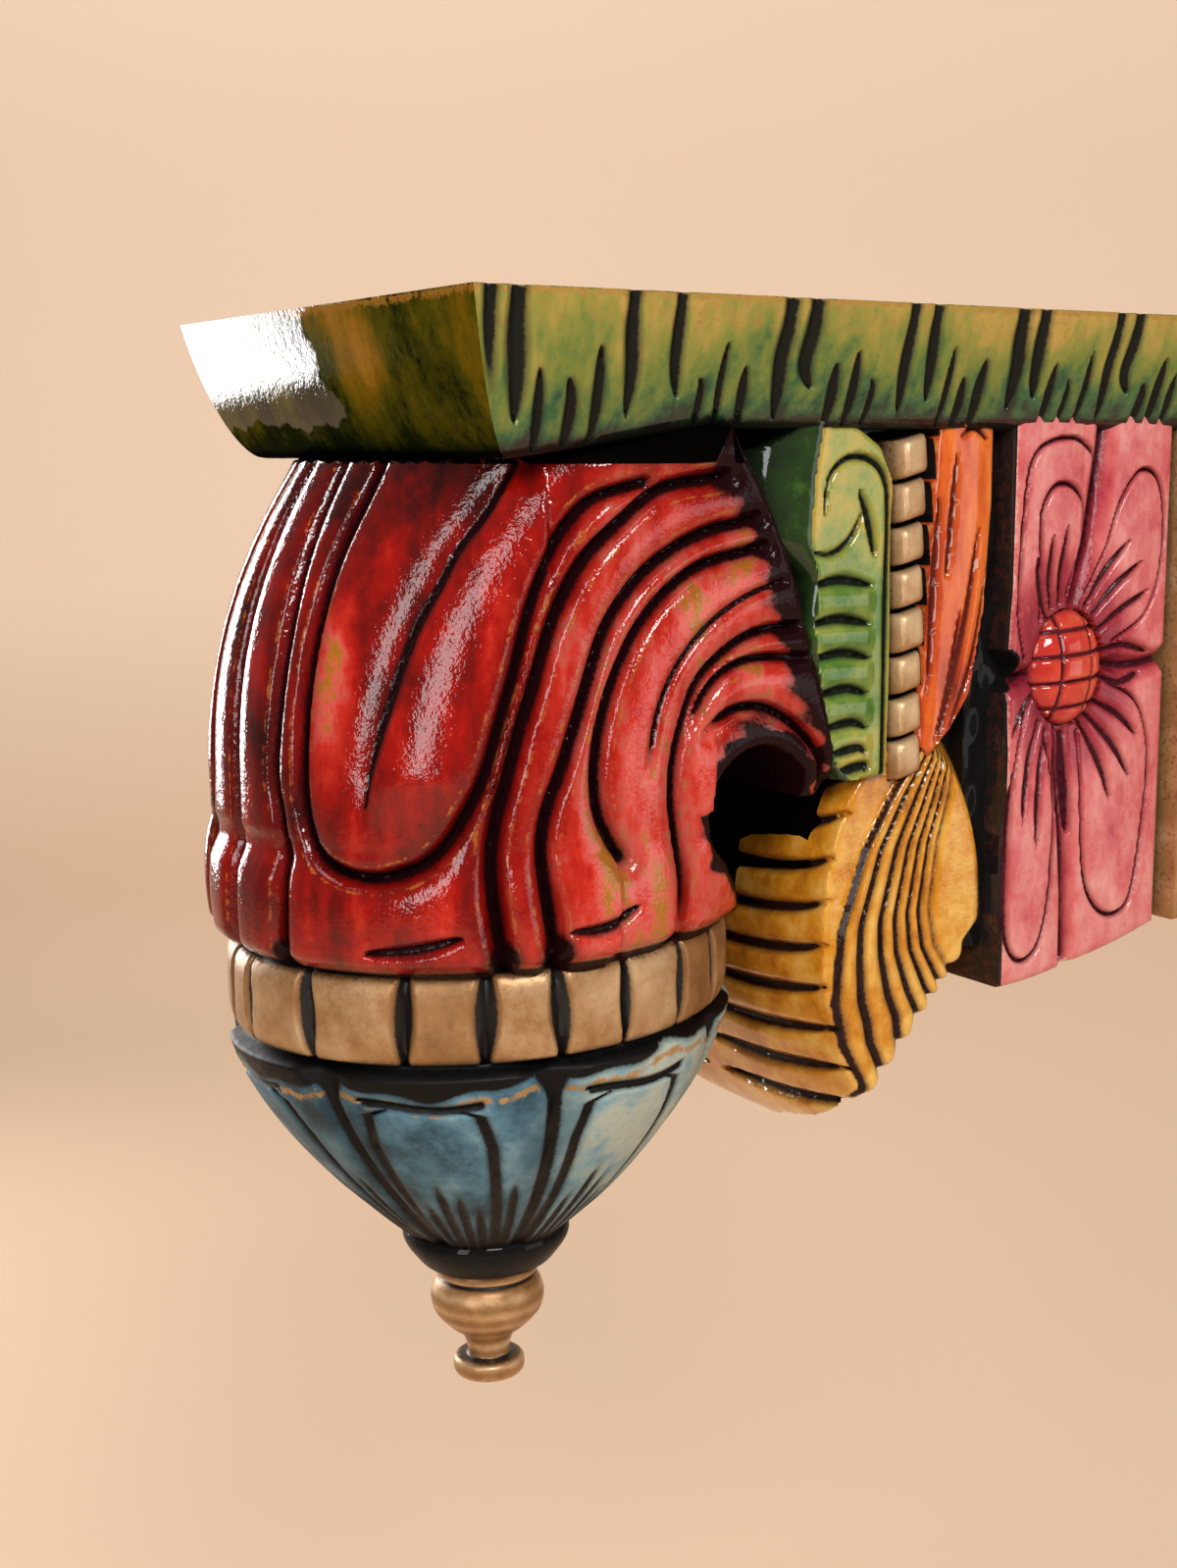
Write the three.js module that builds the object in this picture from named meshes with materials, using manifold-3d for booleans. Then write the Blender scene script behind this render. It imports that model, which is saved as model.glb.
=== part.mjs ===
// Carved and painted wall bracket: a moulded shelf on a scroll, with a bud hanging below it.
// Millimetres, +Z up, the wall at Y = 0 and the front towards -Y.
// Solids are worked out from the shelf's front edge: y runs to the wall, z down from its top.

import * as THREE from 'three';
import { mergeVertices } from 'three/addons/utils/BufferGeometryUtils.js';
import Module from 'manifold-3d';

const wasm = await Module();
wasm.setup();

// Driving dimensions
const reach = 250;
const shelfWidth = 150;
const backHeight = 146;

// Shelf moulding: a leaning fascia over a cove, deeper at the front than at the sides
const fasciaDrop = { front: 20, side: 16.5 };
const coveDrop = { front: 33, side: 26 };
const mouldingEase = 70;
const fasciaInset = 4.5;
const coveStep = 2;
const coveInset = 12;

// End block against the wall, which stands proud and carries the moulding forward with it
const endBlock = { start: 201, halfWidth: 67, bottom: -backHeight };
const mouldingBreak = 7;

// Scroll: its plan is drawn about the bud's axis, its side rolls are ellipses about the eye
const axisY = 40;
const scroll = { halfWidth: 60, bulge: 59.5, topReach: 18, topZ: -28, bulgeZ: -98, square: 2.25 };
const stem = { radius: 58.5, bottom: -137, roundFrom: -96 };
const eye = { y: 77.5, z: -107, radius: 13.4 };
const arris = { startY: 68, startZ: -30, run: 30, drop: 70, power: 0.6 };
const frontRibs = [0, 14, 25];
const sideRolls = [
  [69.5, 78], [65, 71], [55, 61.5], [43, 54], [32.5, 47], [26.5, 38], [21.5, 29], [17.5, 20.5],
];
const gouge = { depth: 2.4, crown: 1.3, edge: 0.24 };
const lobe = { from: -116, swell: 3 };
const web = { halfWidth: 24, top: -88 };
const inner = { overlap: 4, share: 0.25 };

// Core behind the carving
const core = { halfWidth: 50, top: -10, back: 150 };

// Volute under the panel: a boss across the bracket, each end dressed with nested ridges
const volute = { y: 130, z: -140, depth: 32, drop: 60, endShift: 10, halfWidth: 60, chips: 8 };
const keel = { y: 108, z: -176, rise: 1.04, fall: 0.6 };

// Side panel, from the scroll to the block: curled leaf, bead strip, upright petal
const panelX = 60;
const leaf = { top: -24, bottom: -101, frontTop: 82, frontLow: 104, back: 113.5, cuts: 7 };
const beads = { y: 118.4, width: 7.4, top: -27, bottom: -101, count: 8 };
const petal = { front: 124, back: 141, top: -24, bottom: -97, foot: 128 };

// Flower block with one blossom on each side
const block = { start: 146, end: 198, top: -20, bottom: -157, bottomBack: -147 };
const blossom = { y: 169, z: -83.5, buttonY: 12.5, buttonZ: 15.5 };

// Hanging bud: turned about one axis that leans a little towards the wall
const bud = { lean: 2, band: 22, bandRadius: 58.5, pads: 18, petals: 6, cone: 77, collarRadius: 19.5, fullness: 1.55 };
const joint = 0.4;

const mm = THREE.MathUtils;
const radians = mm.degToRad;

// Eases from 0 at one value to 1 at another, whichever is larger
function smooth(from, to, value) {
  const share = mm.clamp((value - from) / (to - from), 0, 1);
  return share * share * (3 - 2 * share);
}

// Closed mesh to solid and back
function solidOf(geometry) {
  const bare = geometry.index ? geometry.clone() : geometry;
  bare.deleteAttribute('normal');
  bare.deleteAttribute('uv');
  const merged = mergeVertices(bare, 1e-4);
  const vertProperties = Float32Array.from(merged.attributes.position.array);
  const triVerts = Uint32Array.from(merged.index.array);
  if (signedVolume(vertProperties, triVerts) < 0) {
    for (let i = 0; i < triVerts.length; i += 3) {
      [triVerts[i], triVerts[i + 1]] = [triVerts[i + 1], triVerts[i]];
    }
  }
  return new wasm.Manifold(new wasm.Mesh({ numProp: 3, vertProperties, triVerts }));
}

function signedVolume(points, triangles) {
  const [a, b, c] = [new THREE.Vector3(), new THREE.Vector3(), new THREE.Vector3()];
  let volume = 0;
  for (let i = 0; i < triangles.length; i += 3) {
    a.fromArray(points, triangles[i] * 3);
    b.fromArray(points, triangles[i + 1] * 3);
    c.fromArray(points, triangles[i + 2] * 3);
    volume += a.dot(b.cross(c)) / 6;
  }
  return volume;
}

function geometryOf(solid) {
  const { vertProperties, triVerts } = solid.getMesh();
  const geometry = new THREE.BufferGeometry();
  geometry.setAttribute('position', new THREE.BufferAttribute(vertProperties, 3));
  geometry.setIndex(new THREE.BufferAttribute(triVerts, 1));
  return geometry;
}

// Cuts leave facets with almost no height. Short edges are drawn together and long ones turned,
// so that every facet left is a real one.
const finest = 0.03;

function tidied(geometry) {
  const at = geometry.attributes.position;
  const corners = Array.from({ length: at.count }, (_, i) => i);
  const points = corners.map((i) => new THREE.Vector3().fromBufferAttribute(at, i));
  let triangles = [];
  for (let i = 0; i < geometry.index.count; i += 3) {
    triangles.push([0, 1, 2].map((k) => geometry.index.getX(i + k)));
  }
  for (let pass = 0; pass < 12; pass += 1) {
    triangles = withoutShortEdges(points, triangles);
    if (turnLongEdges(points, triangles) === 0) break;
  }
  const clean = new THREE.BufferGeometry();
  const flat = points.flatMap((point) => point.toArray());
  clean.setAttribute('position', new THREE.Float32BufferAttribute(flat, 3));
  clean.setIndex(triangles.flat());
  return clean;
}

function neighbours(triangles) {
  const around = new Map();
  for (const triangle of triangles) {
    for (const corner of triangle) {
      if (!around.has(corner)) around.set(corner, new Set());
      triangle.forEach((other) => other !== corner && around.get(corner).add(other));
    }
  }
  return around;
}

function withoutShortEdges(points, triangles) {
  const around = neighbours(triangles);
  const stands = new Map();
  const touched = new Set();
  for (const [a, others] of around) {
    for (const b of others) {
      if (a > b || touched.has(a) || touched.has(b)) continue;
      if (points[a].distanceTo(points[b]) > finest) continue;
      const shared = [...around.get(a)].filter((corner) => around.get(b).has(corner));
      if (shared.length !== 2) continue;
      stands.set(b, a);
      [a, b, ...around.get(a), ...around.get(b)].forEach((corner) => touched.add(corner));
    }
  }
  return triangles
    .map((triangle) => triangle.map((corner) => stands.get(corner) ?? corner))
    .filter(([a, b, c]) => a !== b && b !== c && c !== a);
}

function turnLongEdges(points, triangles) {
  const owner = new Map();
  triangles.forEach((triangle, index) => triangle.forEach((corner, k) => {
    owner.set(`${corner} ${triangle[(k + 1) % 3]}`, index);
  }));
  const touched = new Set();
  let turns = 0;
  triangles.forEach((triangle, index) => {
    const ends = triangle.map((corner, k) => [points[corner], points[triangle[(k + 1) % 3]]]);
    const lengths = ends.map(([from, to]) => from.distanceTo(to));
    const k = lengths.indexOf(Math.max(...lengths));
    const [a, b, v] = [triangle[k], triangle[(k + 1) % 3], triangle[(k + 2) % 3]];
    const area = new THREE.Triangle(points[a], points[b], points[v]).getArea();
    if ((2 * area) / lengths[k] > finest || touched.has(index)) return;
    const other = owner.get(`${b} ${a}`);
    if (touched.has(other)) return;
    const w = triangles[other].find((corner) => corner !== a && corner !== b);
    if (owner.has(`${v} ${w}`) || owner.has(`${w} ${v}`)) return;
    triangles[index] = [a, w, v];
    triangles[other] = [w, b, v];
    for (const [from, to] of [[a, b], [b, a], [a, w], [w, b], [b, v], [v, a]]) {
      touched.add(owner.get(`${from} ${to}`));
      touched.add(owner.get(`${to} ${from}`));
    }
    turns += 1;
  });
  return turns;
}

const joined = (solids) => solids.reduce((sum, solid) => sum.add(solid));

// Both sides of the bracket: the maker gets +1 for the right side and -1 for the left
const onBothSides = (make) => [1, -1].flatMap((side) => make(side));

function moved(geometry, place) {
  const at = geometry.attributes.position;
  const point = new THREE.Vector3();
  for (let i = 0; i < at.count; i += 1) {
    point.fromBufferAttribute(at, i);
    place(point);
    at.setXYZ(i, point.x, point.y, point.z);
  }
  return geometry;
}

// A block whose three edges run along the given stations, with every corner sent to place(u, v, w)
function stationBlock(us, vs, ws, place) {
  const counts = [us, vs, ws].map((stations) => stations.length - 1);
  const geometry = new THREE.BoxGeometry(1, 1, 1, ...counts);
  const pick = (stations, at) => stations[Math.round((at + 0.5) * (stations.length - 1))];
  return moved(geometry, (point) => {
    const [u, v, w] = [pick(us, point.x), pick(vs, point.y), pick(ws, point.z)];
    point.copy(place(u, v, w));
  });
}

function evenly(from, to, steps) {
  return Array.from({ length: steps + 1 }, (_, i) => from + ((to - from) * i) / steps);
}

// One stroke of a gouge from a to b: a lens of wood, pointed at both ends, that is cut away
function gougeCut(a, b, cutWidth, depth, outward) {
  const along = b.clone().sub(a);
  const length = along.length();
  along.normalize();
  const across = new THREE.Vector3().crossVectors(outward, along).normalize();
  const up = new THREE.Vector3().crossVectors(along, across);
  const geometry = new THREE.OctahedronGeometry(1);
  geometry.scale(length / 2, cutWidth / 2, depth);
  geometry.applyMatrix4(new THREE.Matrix4().makeBasis(along, across, up));
  const middle = a.clone().add(b).multiplyScalar(0.5);
  geometry.translate(middle.x, middle.y, middle.z);
  return solidOf(geometry);
}

function sideCut(side, x, from, to, cutWidth, depth) {
  const [a, b] = [from, to].map((place) => new THREE.Vector3(side * x, ...place));
  return gougeCut(a, b, cutWidth, depth, new THREE.Vector3(side, 0, 0));
}

// Flat outline in the side view, given as [y, z] points on a smooth line, raised from one x to another
function sidePlate(side, outline, fromX, toX, round) {
  const shape = new THREE.Shape(outline.map(([y, z]) => new THREE.Vector2(y, z)));
  const depth = toX - fromX - round;
  const geometry = new THREE.ExtrudeGeometry(shape, {
    depth,
    bevelEnabled: round > 0,
    bevelSize: round,
    bevelThickness: round,
    bevelOffset: -round,
    bevelSegments: 1,
  });
  return solidOf(moved(geometry, (point) => point.set(side * (fromX + point.z), point.x, point.y)));
}

// Shelf moulding
function mouldingDrop(drops, y) {
  return mm.lerp(drops.front, drops.side, smooth(0, mouldingEase, y));
}

function mouldingRow(row, y) {
  const fascia = mouldingDrop(fasciaDrop, y);
  const cove = mouldingDrop(coveDrop, y);
  const rows = [
    [0, 0],
    [fascia * 0.45, fasciaInset * 0.3],
    [fascia, fasciaInset],
    [fascia + coveStep * 0.6, fasciaInset + coveStep],
    [mm.lerp(fascia, cove, 0.6), coveInset - coveStep],
    [cove, coveInset],
  ];
  return rows[row];
}

function mouldingBlock(startY, endY, halfWidth, insetFront) {
  const place = (u, v, row) => {
    const [drop, inset] = mouldingRow(row, v);
    const y = v === startY ? startY + inset * insetFront : v;
    return new THREE.Vector3(u * (halfWidth - inset), y, -drop);
  };
  const across = evenly(-1, 1, 4);
  const along = [0, 8, 20, 35, 52, 70, 130, reach].filter((y) => y > startY && y < endY);
  return solidOf(stationBlock(across, [startY, ...along, endY], [5, 4, 3, 2, 1, 0], place));
}

function mouldingStrokes() {
  const pitch = 32;
  const long = { lean: 5, width: 2.6, depth: 1.3, spread: 3.6 };
  const short = { lean: 3, width: 2.2, depth: 1.1 };
  const strokes = [];
  const stroke = (side, y, lean, topShare, cut) => {
    const [drop, inset] = mouldingRow(2, y);
    const half = shelfWidth / 2;
    strokes.push(gougeCut(
      new THREE.Vector3(side * (half - inset * topShare), y, -drop * topShare),
      new THREE.Vector3(side * (half - inset), y + lean, -drop),
      cut.width, cut.depth, new THREE.Vector3(side, 0, -0.25).normalize(),
    ));
  };
  for (const side of [1, -1]) {
    for (let group = 0; group < 6; group += 1) {
      const y = 9 + group * pitch;
      stroke(side, y - long.spread, long.lean, 0.15, long);
      stroke(side, y + long.spread, long.lean, 0.15, long);
      const middle = y + pitch / 2;
      if (middle < endBlock.start - pitch / 2) stroke(side, middle, short.lean, 0.55, short);
    }
  }
  return strokes;
}

// Scroll
function planReach(z) {
  const rise = mm.clamp((z - scroll.bulgeZ) / (scroll.topZ - scroll.bulgeZ), 0, 1);
  return mm.lerp(scroll.bulge, scroll.topReach, rise * rise);
}

function roundness(z) {
  return smooth(scroll.bulgeZ, stem.bottom, z);
}

// Point on the scroll's plain surface at a bearing from the front, and its outward direction
function scrollAtBearing(bearing, z) {
  const angle = radians(bearing);
  const [a, b] = [scroll.halfWidth, planReach(z)];
  const power = mm.lerp(scroll.square, 2, roundness(z));
  const radius = ((Math.sin(angle) / a) ** power + (Math.cos(angle) / b) ** power) ** (-1 / power);
  return new THREE.Vector3(radius * Math.sin(angle), axisY - radius * Math.cos(angle), z);
}

function scrollAtSide(y, z) {
  if (y < axisY) {
    const [a, b] = [scroll.halfWidth, planReach(z)];
    const power = mm.lerp(scroll.square, 2, roundness(z));
    const share = Math.max(1 - ((axisY - y) / b) ** power, 0.0004);
    return new THREE.Vector3(a * share ** (1 / power), y, z);
  }
  const round = Math.sqrt(Math.max(stem.radius ** 2 - (y - axisY) ** 2, 9));
  return new THREE.Vector3(mm.lerp(scroll.halfWidth, round, smooth(stem.roundFrom, stem.bottom, z)), y, z);
}

const stemBottom = (y) => stem.bottom + (y - axisY) * Math.tan(radians(bud.lean));

// The lines between the rolls: v runs from the shelf or the arris to the bud
function ribLine(bearing, v) {
  const z = mm.lerp(scroll.topZ, stem.bottom, v);
  return scrollAtBearing(bearing, z);
}

function arrisBearing(a, b) {
  for (let degrees = 150; degrees > -20; degrees -= 1) {
    const y = eye.y + a * Math.cos(radians(degrees));
    const z = eye.z + b * Math.sin(radians(degrees));
    const fall = Math.max((arris.startZ - z) / arris.drop, 0);
    if (y >= arris.startY + arris.run * fall ** arris.power) return degrees;
  }
  return -20;
}

function rollLine([a, b], v) {
  const turn = 0.68;
  if (v <= turn) {
    const angle = radians(mm.lerp(arrisBearing(a, b), 180, v / turn));
    return scrollAtSide(eye.y + a * Math.cos(angle), eye.z + b * Math.sin(angle));
  }
  const down = (v - turn) / (1 - turn);
  const y = eye.y - a + wrap(a) * down ** 1.5;
  return scrollAtSide(y, mm.lerp(eye.z, stem.bottom, down));
}

// The inner rolls wrap round the back of the stem as they go down to the bud
const wrap = (a) => 26 * smooth(34, eye.radius, a);

function scrollLines(v) {
  const rolls = [...sideRolls, [eye.radius, eye.radius]];
  const ribs = frontRibs.map((bearing) => ribLine(bearing, v));
  return [...ribs, ...rolls.map((roll) => rollLine(roll, v))];
}

function scrollPoint(line, v) {
  const lines = scrollLines(v);
  const index = Math.min(Math.floor(line), lines.length - 2);
  const share = line - index;
  const between = lines[index].clone().lerp(lines[index + 1], share);
  if (between.y < axisY && index < frontRibs.length) {
    const bearing = mm.radToDeg(Math.atan2(between.x, axisY - between.y));
    return scrollAtBearing(bearing, between.z);
  }
  return scrollAtSide(between.y, between.z);
}

function scrollRelief(line, z) {
  const share = line - Math.floor(line);
  const edge = Math.min(share, 1 - share);
  const relief = edge === 0 ? -gouge.depth : gouge.crown;
  const swell = Math.sin(Math.PI * smooth(lobe.from, stem.bottom - 4, z)) * Math.min(edge * 4, 1);
  return relief + lobe.swell * swell;
}

function scrollHalf(side) {
  const bands = frontRibs.length + sideRolls.length;
  const lines = [];
  for (let band = 0; band < bands; band += 1) {
    const broad = band === frontRibs.length - 1;
    const shares = broad ? [0, 0.06, 0.35, 0.65, 0.94] : [0, gouge.edge, 1 - gouge.edge];
    lines.push(...shares.map((share) => band + share));
  }
  lines.push(bands);
  const place = (line, v, w) => {
    const point = scrollPoint(line, v);
    if (w === 0) {
      const back = point.y < axisY ? mm.lerp(axisY, point.y, inner.share) : point.y;
      return new THREE.Vector3(-inner.overlap * side, back, Math.max(point.z, stemBottom(point.y)));
    }
    const outward = new THREE.Vector3(point.x / scroll.halfWidth ** 2, 0, 0);
    if (point.y < axisY) outward.y = (point.y - axisY) / planReach(point.z) ** 2;
    outward.normalize();
    point.addScaledVector(outward, scrollRelief(line, point.z));
    point.x = Math.max(point.x, line === 0 ? 0 : 0.3);
    point.z = Math.max(point.z, stemBottom(point.y));
    point.x *= side;
    return point;
  };
  return solidOf(stationBlock(lines, evenly(0, 1, 10), [0, 1], place));
}

// The sash groove on each corner petal
function cornerSash(side) {
  const sash = [[70, -37], [56, -52], [48, -73], [42, -93], [40, -104]];
  const cuts = [];
  for (let i = 1; i < sash.length; i += 1) {
    const [from, to] = [sash[i - 1], sash[i]].map(([bearing, z]) => scrollAtBearing(bearing, z));
    const outward = from.clone().add(to).sub(new THREE.Vector3(0, 2 * axisY, from.z + to.z)).normalize();
    const reachOut = to.clone().sub(from).multiplyScalar(0.3);
    from.sub(reachOut).addScaledVector(outward, 1);
    to.add(reachOut).addScaledVector(outward, 1);
    for (const point of [from, to]) point.x *= side;
    outward.x *= side;
    cuts.push(gougeCut(from, to, 3.2, 3, outward));
  }
  return cuts;
}

// Core: a plate across the bracket that leaves the eye open on its front side
function coreSolid() {
  const outline = new THREE.Shape();
  outline.moveTo(axisY - 10, core.top);
  outline.lineTo(core.back, core.top);
  outline.lineTo(core.back, volute.z);
  outline.lineTo(volute.y - volute.depth + 4, volute.z + 14);
  outline.lineTo(eye.y + eye.radius + 1, eye.z - 2);
  outline.absarc(eye.y, eye.z, eye.radius, 0, Math.PI / 2, false);
  outline.lineTo(axisY + 14, eye.z + 30);
  outline.lineTo(axisY - 10, -50);
  const depth = 2 * core.halfWidth;
  const geometry = new THREE.ExtrudeGeometry(outline, { depth, bevelEnabled: false, curveSegments: 6 });
  const plate = solidOf(moved(geometry, (point) => point.set(point.z - core.halfWidth, point.x, point.y)));
  const middle = new THREE.BoxGeometry(2 * web.halfWidth, volute.y - axisY, web.top - stem.bottom);
  middle.translate(0, (volute.y + axisY) / 2, (web.top + stem.bottom) / 2);
  return plate.add(solidOf(middle));
}

// Volute: its outline at a place across is an ellipse, a share of the one in the middle
function voluteShare(x) {
  const out = Math.abs(x) / volute.halfWidth;
  return Math.max(1 - 0.3 * out ** 3.2, 0);
}

function volutePoint(x, share, angle) {
  const y = volute.y - volute.endShift * (x / volute.halfWidth) ** 2;
  const [forward, rise] = [volute.depth * Math.cos(angle), volute.drop * Math.sin(angle)];
  return new THREE.Vector3(x, y + share * forward, volute.z + share * rise);
}

function voluteSolid() {
  const across = [0.35, 0.62, 0.82, 0.95].map((out) => out * volute.halfWidth);
  const half = across.map((x) => [voluteShare(x), x]);
  for (const share of [0.66, 0.55, 0.44, 0.33]) {
    half.push([share, volute.halfWidth - 2.2], [share - 0.05, volute.halfWidth + 0.8]);
  }
  half.push([0, volute.halfWidth + 0.8]);
  const left = half.map(([share, x]) => [share, -x]).reverse();
  const points = [...left, [1, 0], ...half].map(([share, x]) => new THREE.Vector2(share, x));
  const geometry = new THREE.LatheGeometry(points, 24);
  moved(geometry, (point) => {
    const angle = Math.atan2(point.z, point.x);
    point.copy(volutePoint(point.y, Math.hypot(point.x, point.z), angle));
  });
  return solidOf(geometry);
}

// The underside rises to the wall, from a keel in the middle
function voluteUnderside(side) {
  const place = (x, y, v) => {
    const z = keel.z + (y - keel.y) * keel.rise - (volute.halfWidth - x) * keel.fall;
    return new THREE.Vector3(side * x, y, v === 0 ? z - 100 : z);
  };
  return [solidOf(stationBlock([0, volute.halfWidth + 10], [keel.y - 40, keel.y + 70], [0, 1], place))];
}

function voluteChips(side) {
  const ends = [volute.halfWidth - 9, 12];
  const tilt = 0.14;
  return evenly(0, volute.chips - 1, volute.chips - 1).map((chip) => {
    const angle = radians(150 + chip * 13);
    const turns = [angle, angle + tilt];
    const [from, to] = ends.map((x, end) => volutePoint(side * x, voluteShare(x) + 0.01, turns[end]));
    const outward = new THREE.Vector3(0, Math.cos(angle) / volute.depth, Math.sin(angle) / volute.drop);
    return gougeCut(from, to, 4, 3, outward.normalize());
  });
}

// Side panel
function curledLeaf(side) {
  const outline = [
    [leaf.frontTop + 2, leaf.top], [leaf.back, leaf.top],
    [leaf.back + 1, leaf.bottom], [leaf.frontLow, leaf.bottom],
    [leaf.frontLow - 7, -72], [leaf.frontTop + 9, -54],
    [leaf.frontTop + 3, -42], [leaf.frontTop, -32],
  ];
  const plate = sidePlate(side, outline, core.halfWidth - 6, panelX + 2.5, 3);
  const cuts = evenly(0, 1, leaf.cuts - 1).map((share) => {
    const z = mm.lerp(-60, leaf.bottom + 4, share);
    const start = mm.lerp(leaf.frontTop + 13, leaf.frontLow + 1, share);
    return sideCut(side, panelX + 2.5, [start, z], [leaf.back - 4, z - 0.6], 2.8, 2);
  });
  const curl = new THREE.TorusGeometry(7, 1.1, 4, 14);
  curl.scale(1, 1.25, 1);
  moved(curl, (point) => point.set(side * (panelX + 2.7) + point.z, 102 + point.x, point.y - 42));
  const [edgeTop, edgeLow] = [[leaf.back - 2, leaf.top - 8], [leaf.back - 1, leaf.bottom + 1]];
  const edge = sideCut(side, panelX + 2.5, edgeTop, edgeLow, 1.8, 2);
  return plate.subtract(joined([...cuts, solidOf(curl), edge]));
}

function beadStrip(side) {
  const pitch = (beads.top - beads.bottom) / beads.count;
  const strip = evenly(0, beads.count - 1, beads.count - 1).map((index) => {
    const geometry = new THREE.BoxGeometry(14, beads.width, pitch - 0.9, 1, 2, 2);
    const z = beads.top - pitch * (index + 0.5);
    moved(geometry, (point) => {
      const [across, up] = [point.y / beads.width, point.z / pitch];
      const outer = point.x > 0 ? 1 - 1.6 * (across ** 2 + up ** 2) : 0;
      const slant = across * 2.2;
      point.set(side * (panelX - 7 + point.x + 1.6 * outer), beads.y + point.y, z + point.z + slant);
    });
    return solidOf(geometry);
  });
  return strip;
}

function uprightPetal(side) {
  const outline = [
    [petal.front, petal.top], [petal.back, petal.top], [petal.back - 0.6, -58], [petal.back - 5, -80],
    [petal.foot + 3, petal.bottom], [petal.foot - 3, petal.bottom + 1], [petal.front - 1, -70],
  ];
  const plate = sidePlate(side, outline, core.halfWidth - 6, panelX + 1.5, 2.5);
  const cuts = [-3, 1, 5].map((lean) => {
    const foot = [petal.foot + lean * 0.4, petal.bottom + 4];
    const head = [petal.front + 8 + lean, -40 - Math.abs(lean) * 3];
    return sideCut(side, panelX + 1.5, foot, head, 2, 1.6);
  });
  return plate.subtract(joined(cuts));
}

// Flower block
function flowerBlock() {
  const place = (u, y, v) => {
    const share = (y - block.start) / (block.end - block.start);
    const bottom = mm.lerp(block.bottom, block.bottomBack, share ** 1.5);
    return new THREE.Vector3(u * (panelX - 1), y, v === 0 ? bottom : block.top);
  };
  return solidOf(stationBlock([-1, 1], evenly(block.start, block.end, 4), [0, 1], place));
}

function blossomPetals(side) {
  const gap = 0.9;
  const quarters = [
    [block.start + 1, blossom.y - gap, blossom.z + gap, -24],
    [blossom.y + gap, block.end - 0.5, blossom.z + gap, -24],
    [block.start + 0.5, blossom.y - gap, block.bottom + 2.5, blossom.z - gap],
    [blossom.y + gap, block.end - 1.5, block.bottomBack, blossom.z - gap],
  ];
  return quarters.flatMap(([y0, y1, z0, z1]) => {
    const upper = z0 > blossom.z;
    const [inside, outer] = y1 < blossom.y ? [y1, y0] : [y0, y1];
    const [far, near] = upper ? [z1, z0] : [z0, z1];
    const out = Math.sign(outer - inside);
    const up = Math.sign(far - near);
    const outline = [
      [inside, near + up * 8], [inside + out * 1.2, far - up * 9],
      [inside + out * 5, far - up * 2.5], [inside + out * 11, far],
      [outer, far - up * 1], [outer, near + up * 10],
      [outer - out * 5, near + up * 3], [inside + out * 8, near],
    ];
    const x = panelX + 2.2;
    const plate = sidePlate(side, outline, panelX - 10, x, 2.2);
    const rim = [
      [[inside + out * 5.5, near + up * 16], [inside + out * 6.5, far - up * 9]],
      [[outer - out * 5, near + up * 14], [outer - out * 5.2, far - up * 9]],
      [[inside + out * 7, far - up * 7], [outer - out * 6, far - up * 7.5]],
    ].map(([from, to]) => sideCut(side, x, from, to, 1.8, 1.6));
    const rays = [0.3, 0.62].map((share) => {
      const from = [inside + out * (8 + 8 * share), near + up * (15 - 8 * share)];
      const to = [mm.lerp(inside, outer, 0.36 + share * 0.5), mm.lerp(near, far, 0.62 - share * 0.3)];
      return sideCut(side, x, from, to, 2, 1.8);
    });
    return [plate.subtract(joined([...rim, ...rays]))];
  });
}

function blossomButton(side) {
  const dome = new THREE.SphereGeometry(1, 12, 7);
  dome.scale(5.5, blossom.buttonY, blossom.buttonZ);
  dome.translate(side * panelX, blossom.y, blossom.z);
  const cuts = [-8, 0, 8].map((rise) => sideCut(
    side, panelX + 5, [blossom.y - 12, blossom.z + rise], [blossom.y + 12, blossom.z + rise + 1], 1.8, 1.6,
  ));
  const stems = [-4, 4].map((step) => sideCut(
    side, panelX + 5, [blossom.y + step, blossom.z - 14], [blossom.y + step, blossom.z + 14], 1.6, 1.4,
  ));
  return solidOf(dome).subtract(joined([...cuts, ...stems]));
}

// End block with an upright leaf in outline on each side
function endSolid() {
  const size = reach - endBlock.start;
  const box = new THREE.BoxGeometry(2 * endBlock.halfWidth, size + 8, -10 - endBlock.bottom);
  box.translate(0, endBlock.start + size / 2 - 4, (endBlock.bottom - 10) / 2);
  const stepIn = onBothSides((side) => {
    const recess = new THREE.BoxGeometry(20, 8.6, 300);
    recess.translate(side * (panelX - 4 + 10), endBlock.start - 4, 0);
    return [solidOf(recess)];
  });
  const middle = endBlock.start + size / 2;
  const leaves = onBothSides((side) => {
    const ring = new THREE.TorusGeometry(15, 1.4, 4, 16);
    ring.scale(1, 2.9, 1);
    moved(ring, (point) => point.set(side * endBlock.halfWidth + point.z, middle + point.x, point.y - 86));
    const vein = sideCut(side, endBlock.halfWidth, [middle, -126], [middle, -58], 2.6, 1.6);
    return [solidOf(ring), vein];
  });
  return solidOf(box).subtract(joined([...stepIn, ...leaves]));
}

// Hanging bud, in its own frame: its axis is Z and its top face is at Z = 0
function budRadius(z) {
  const share = mm.clamp((-z - bud.band) / (bud.cone - bud.band), 0, 1);
  return mm.lerp(bud.bandRadius - 0.5, bud.collarRadius - 1, share ** bud.fullness);
}

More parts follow.
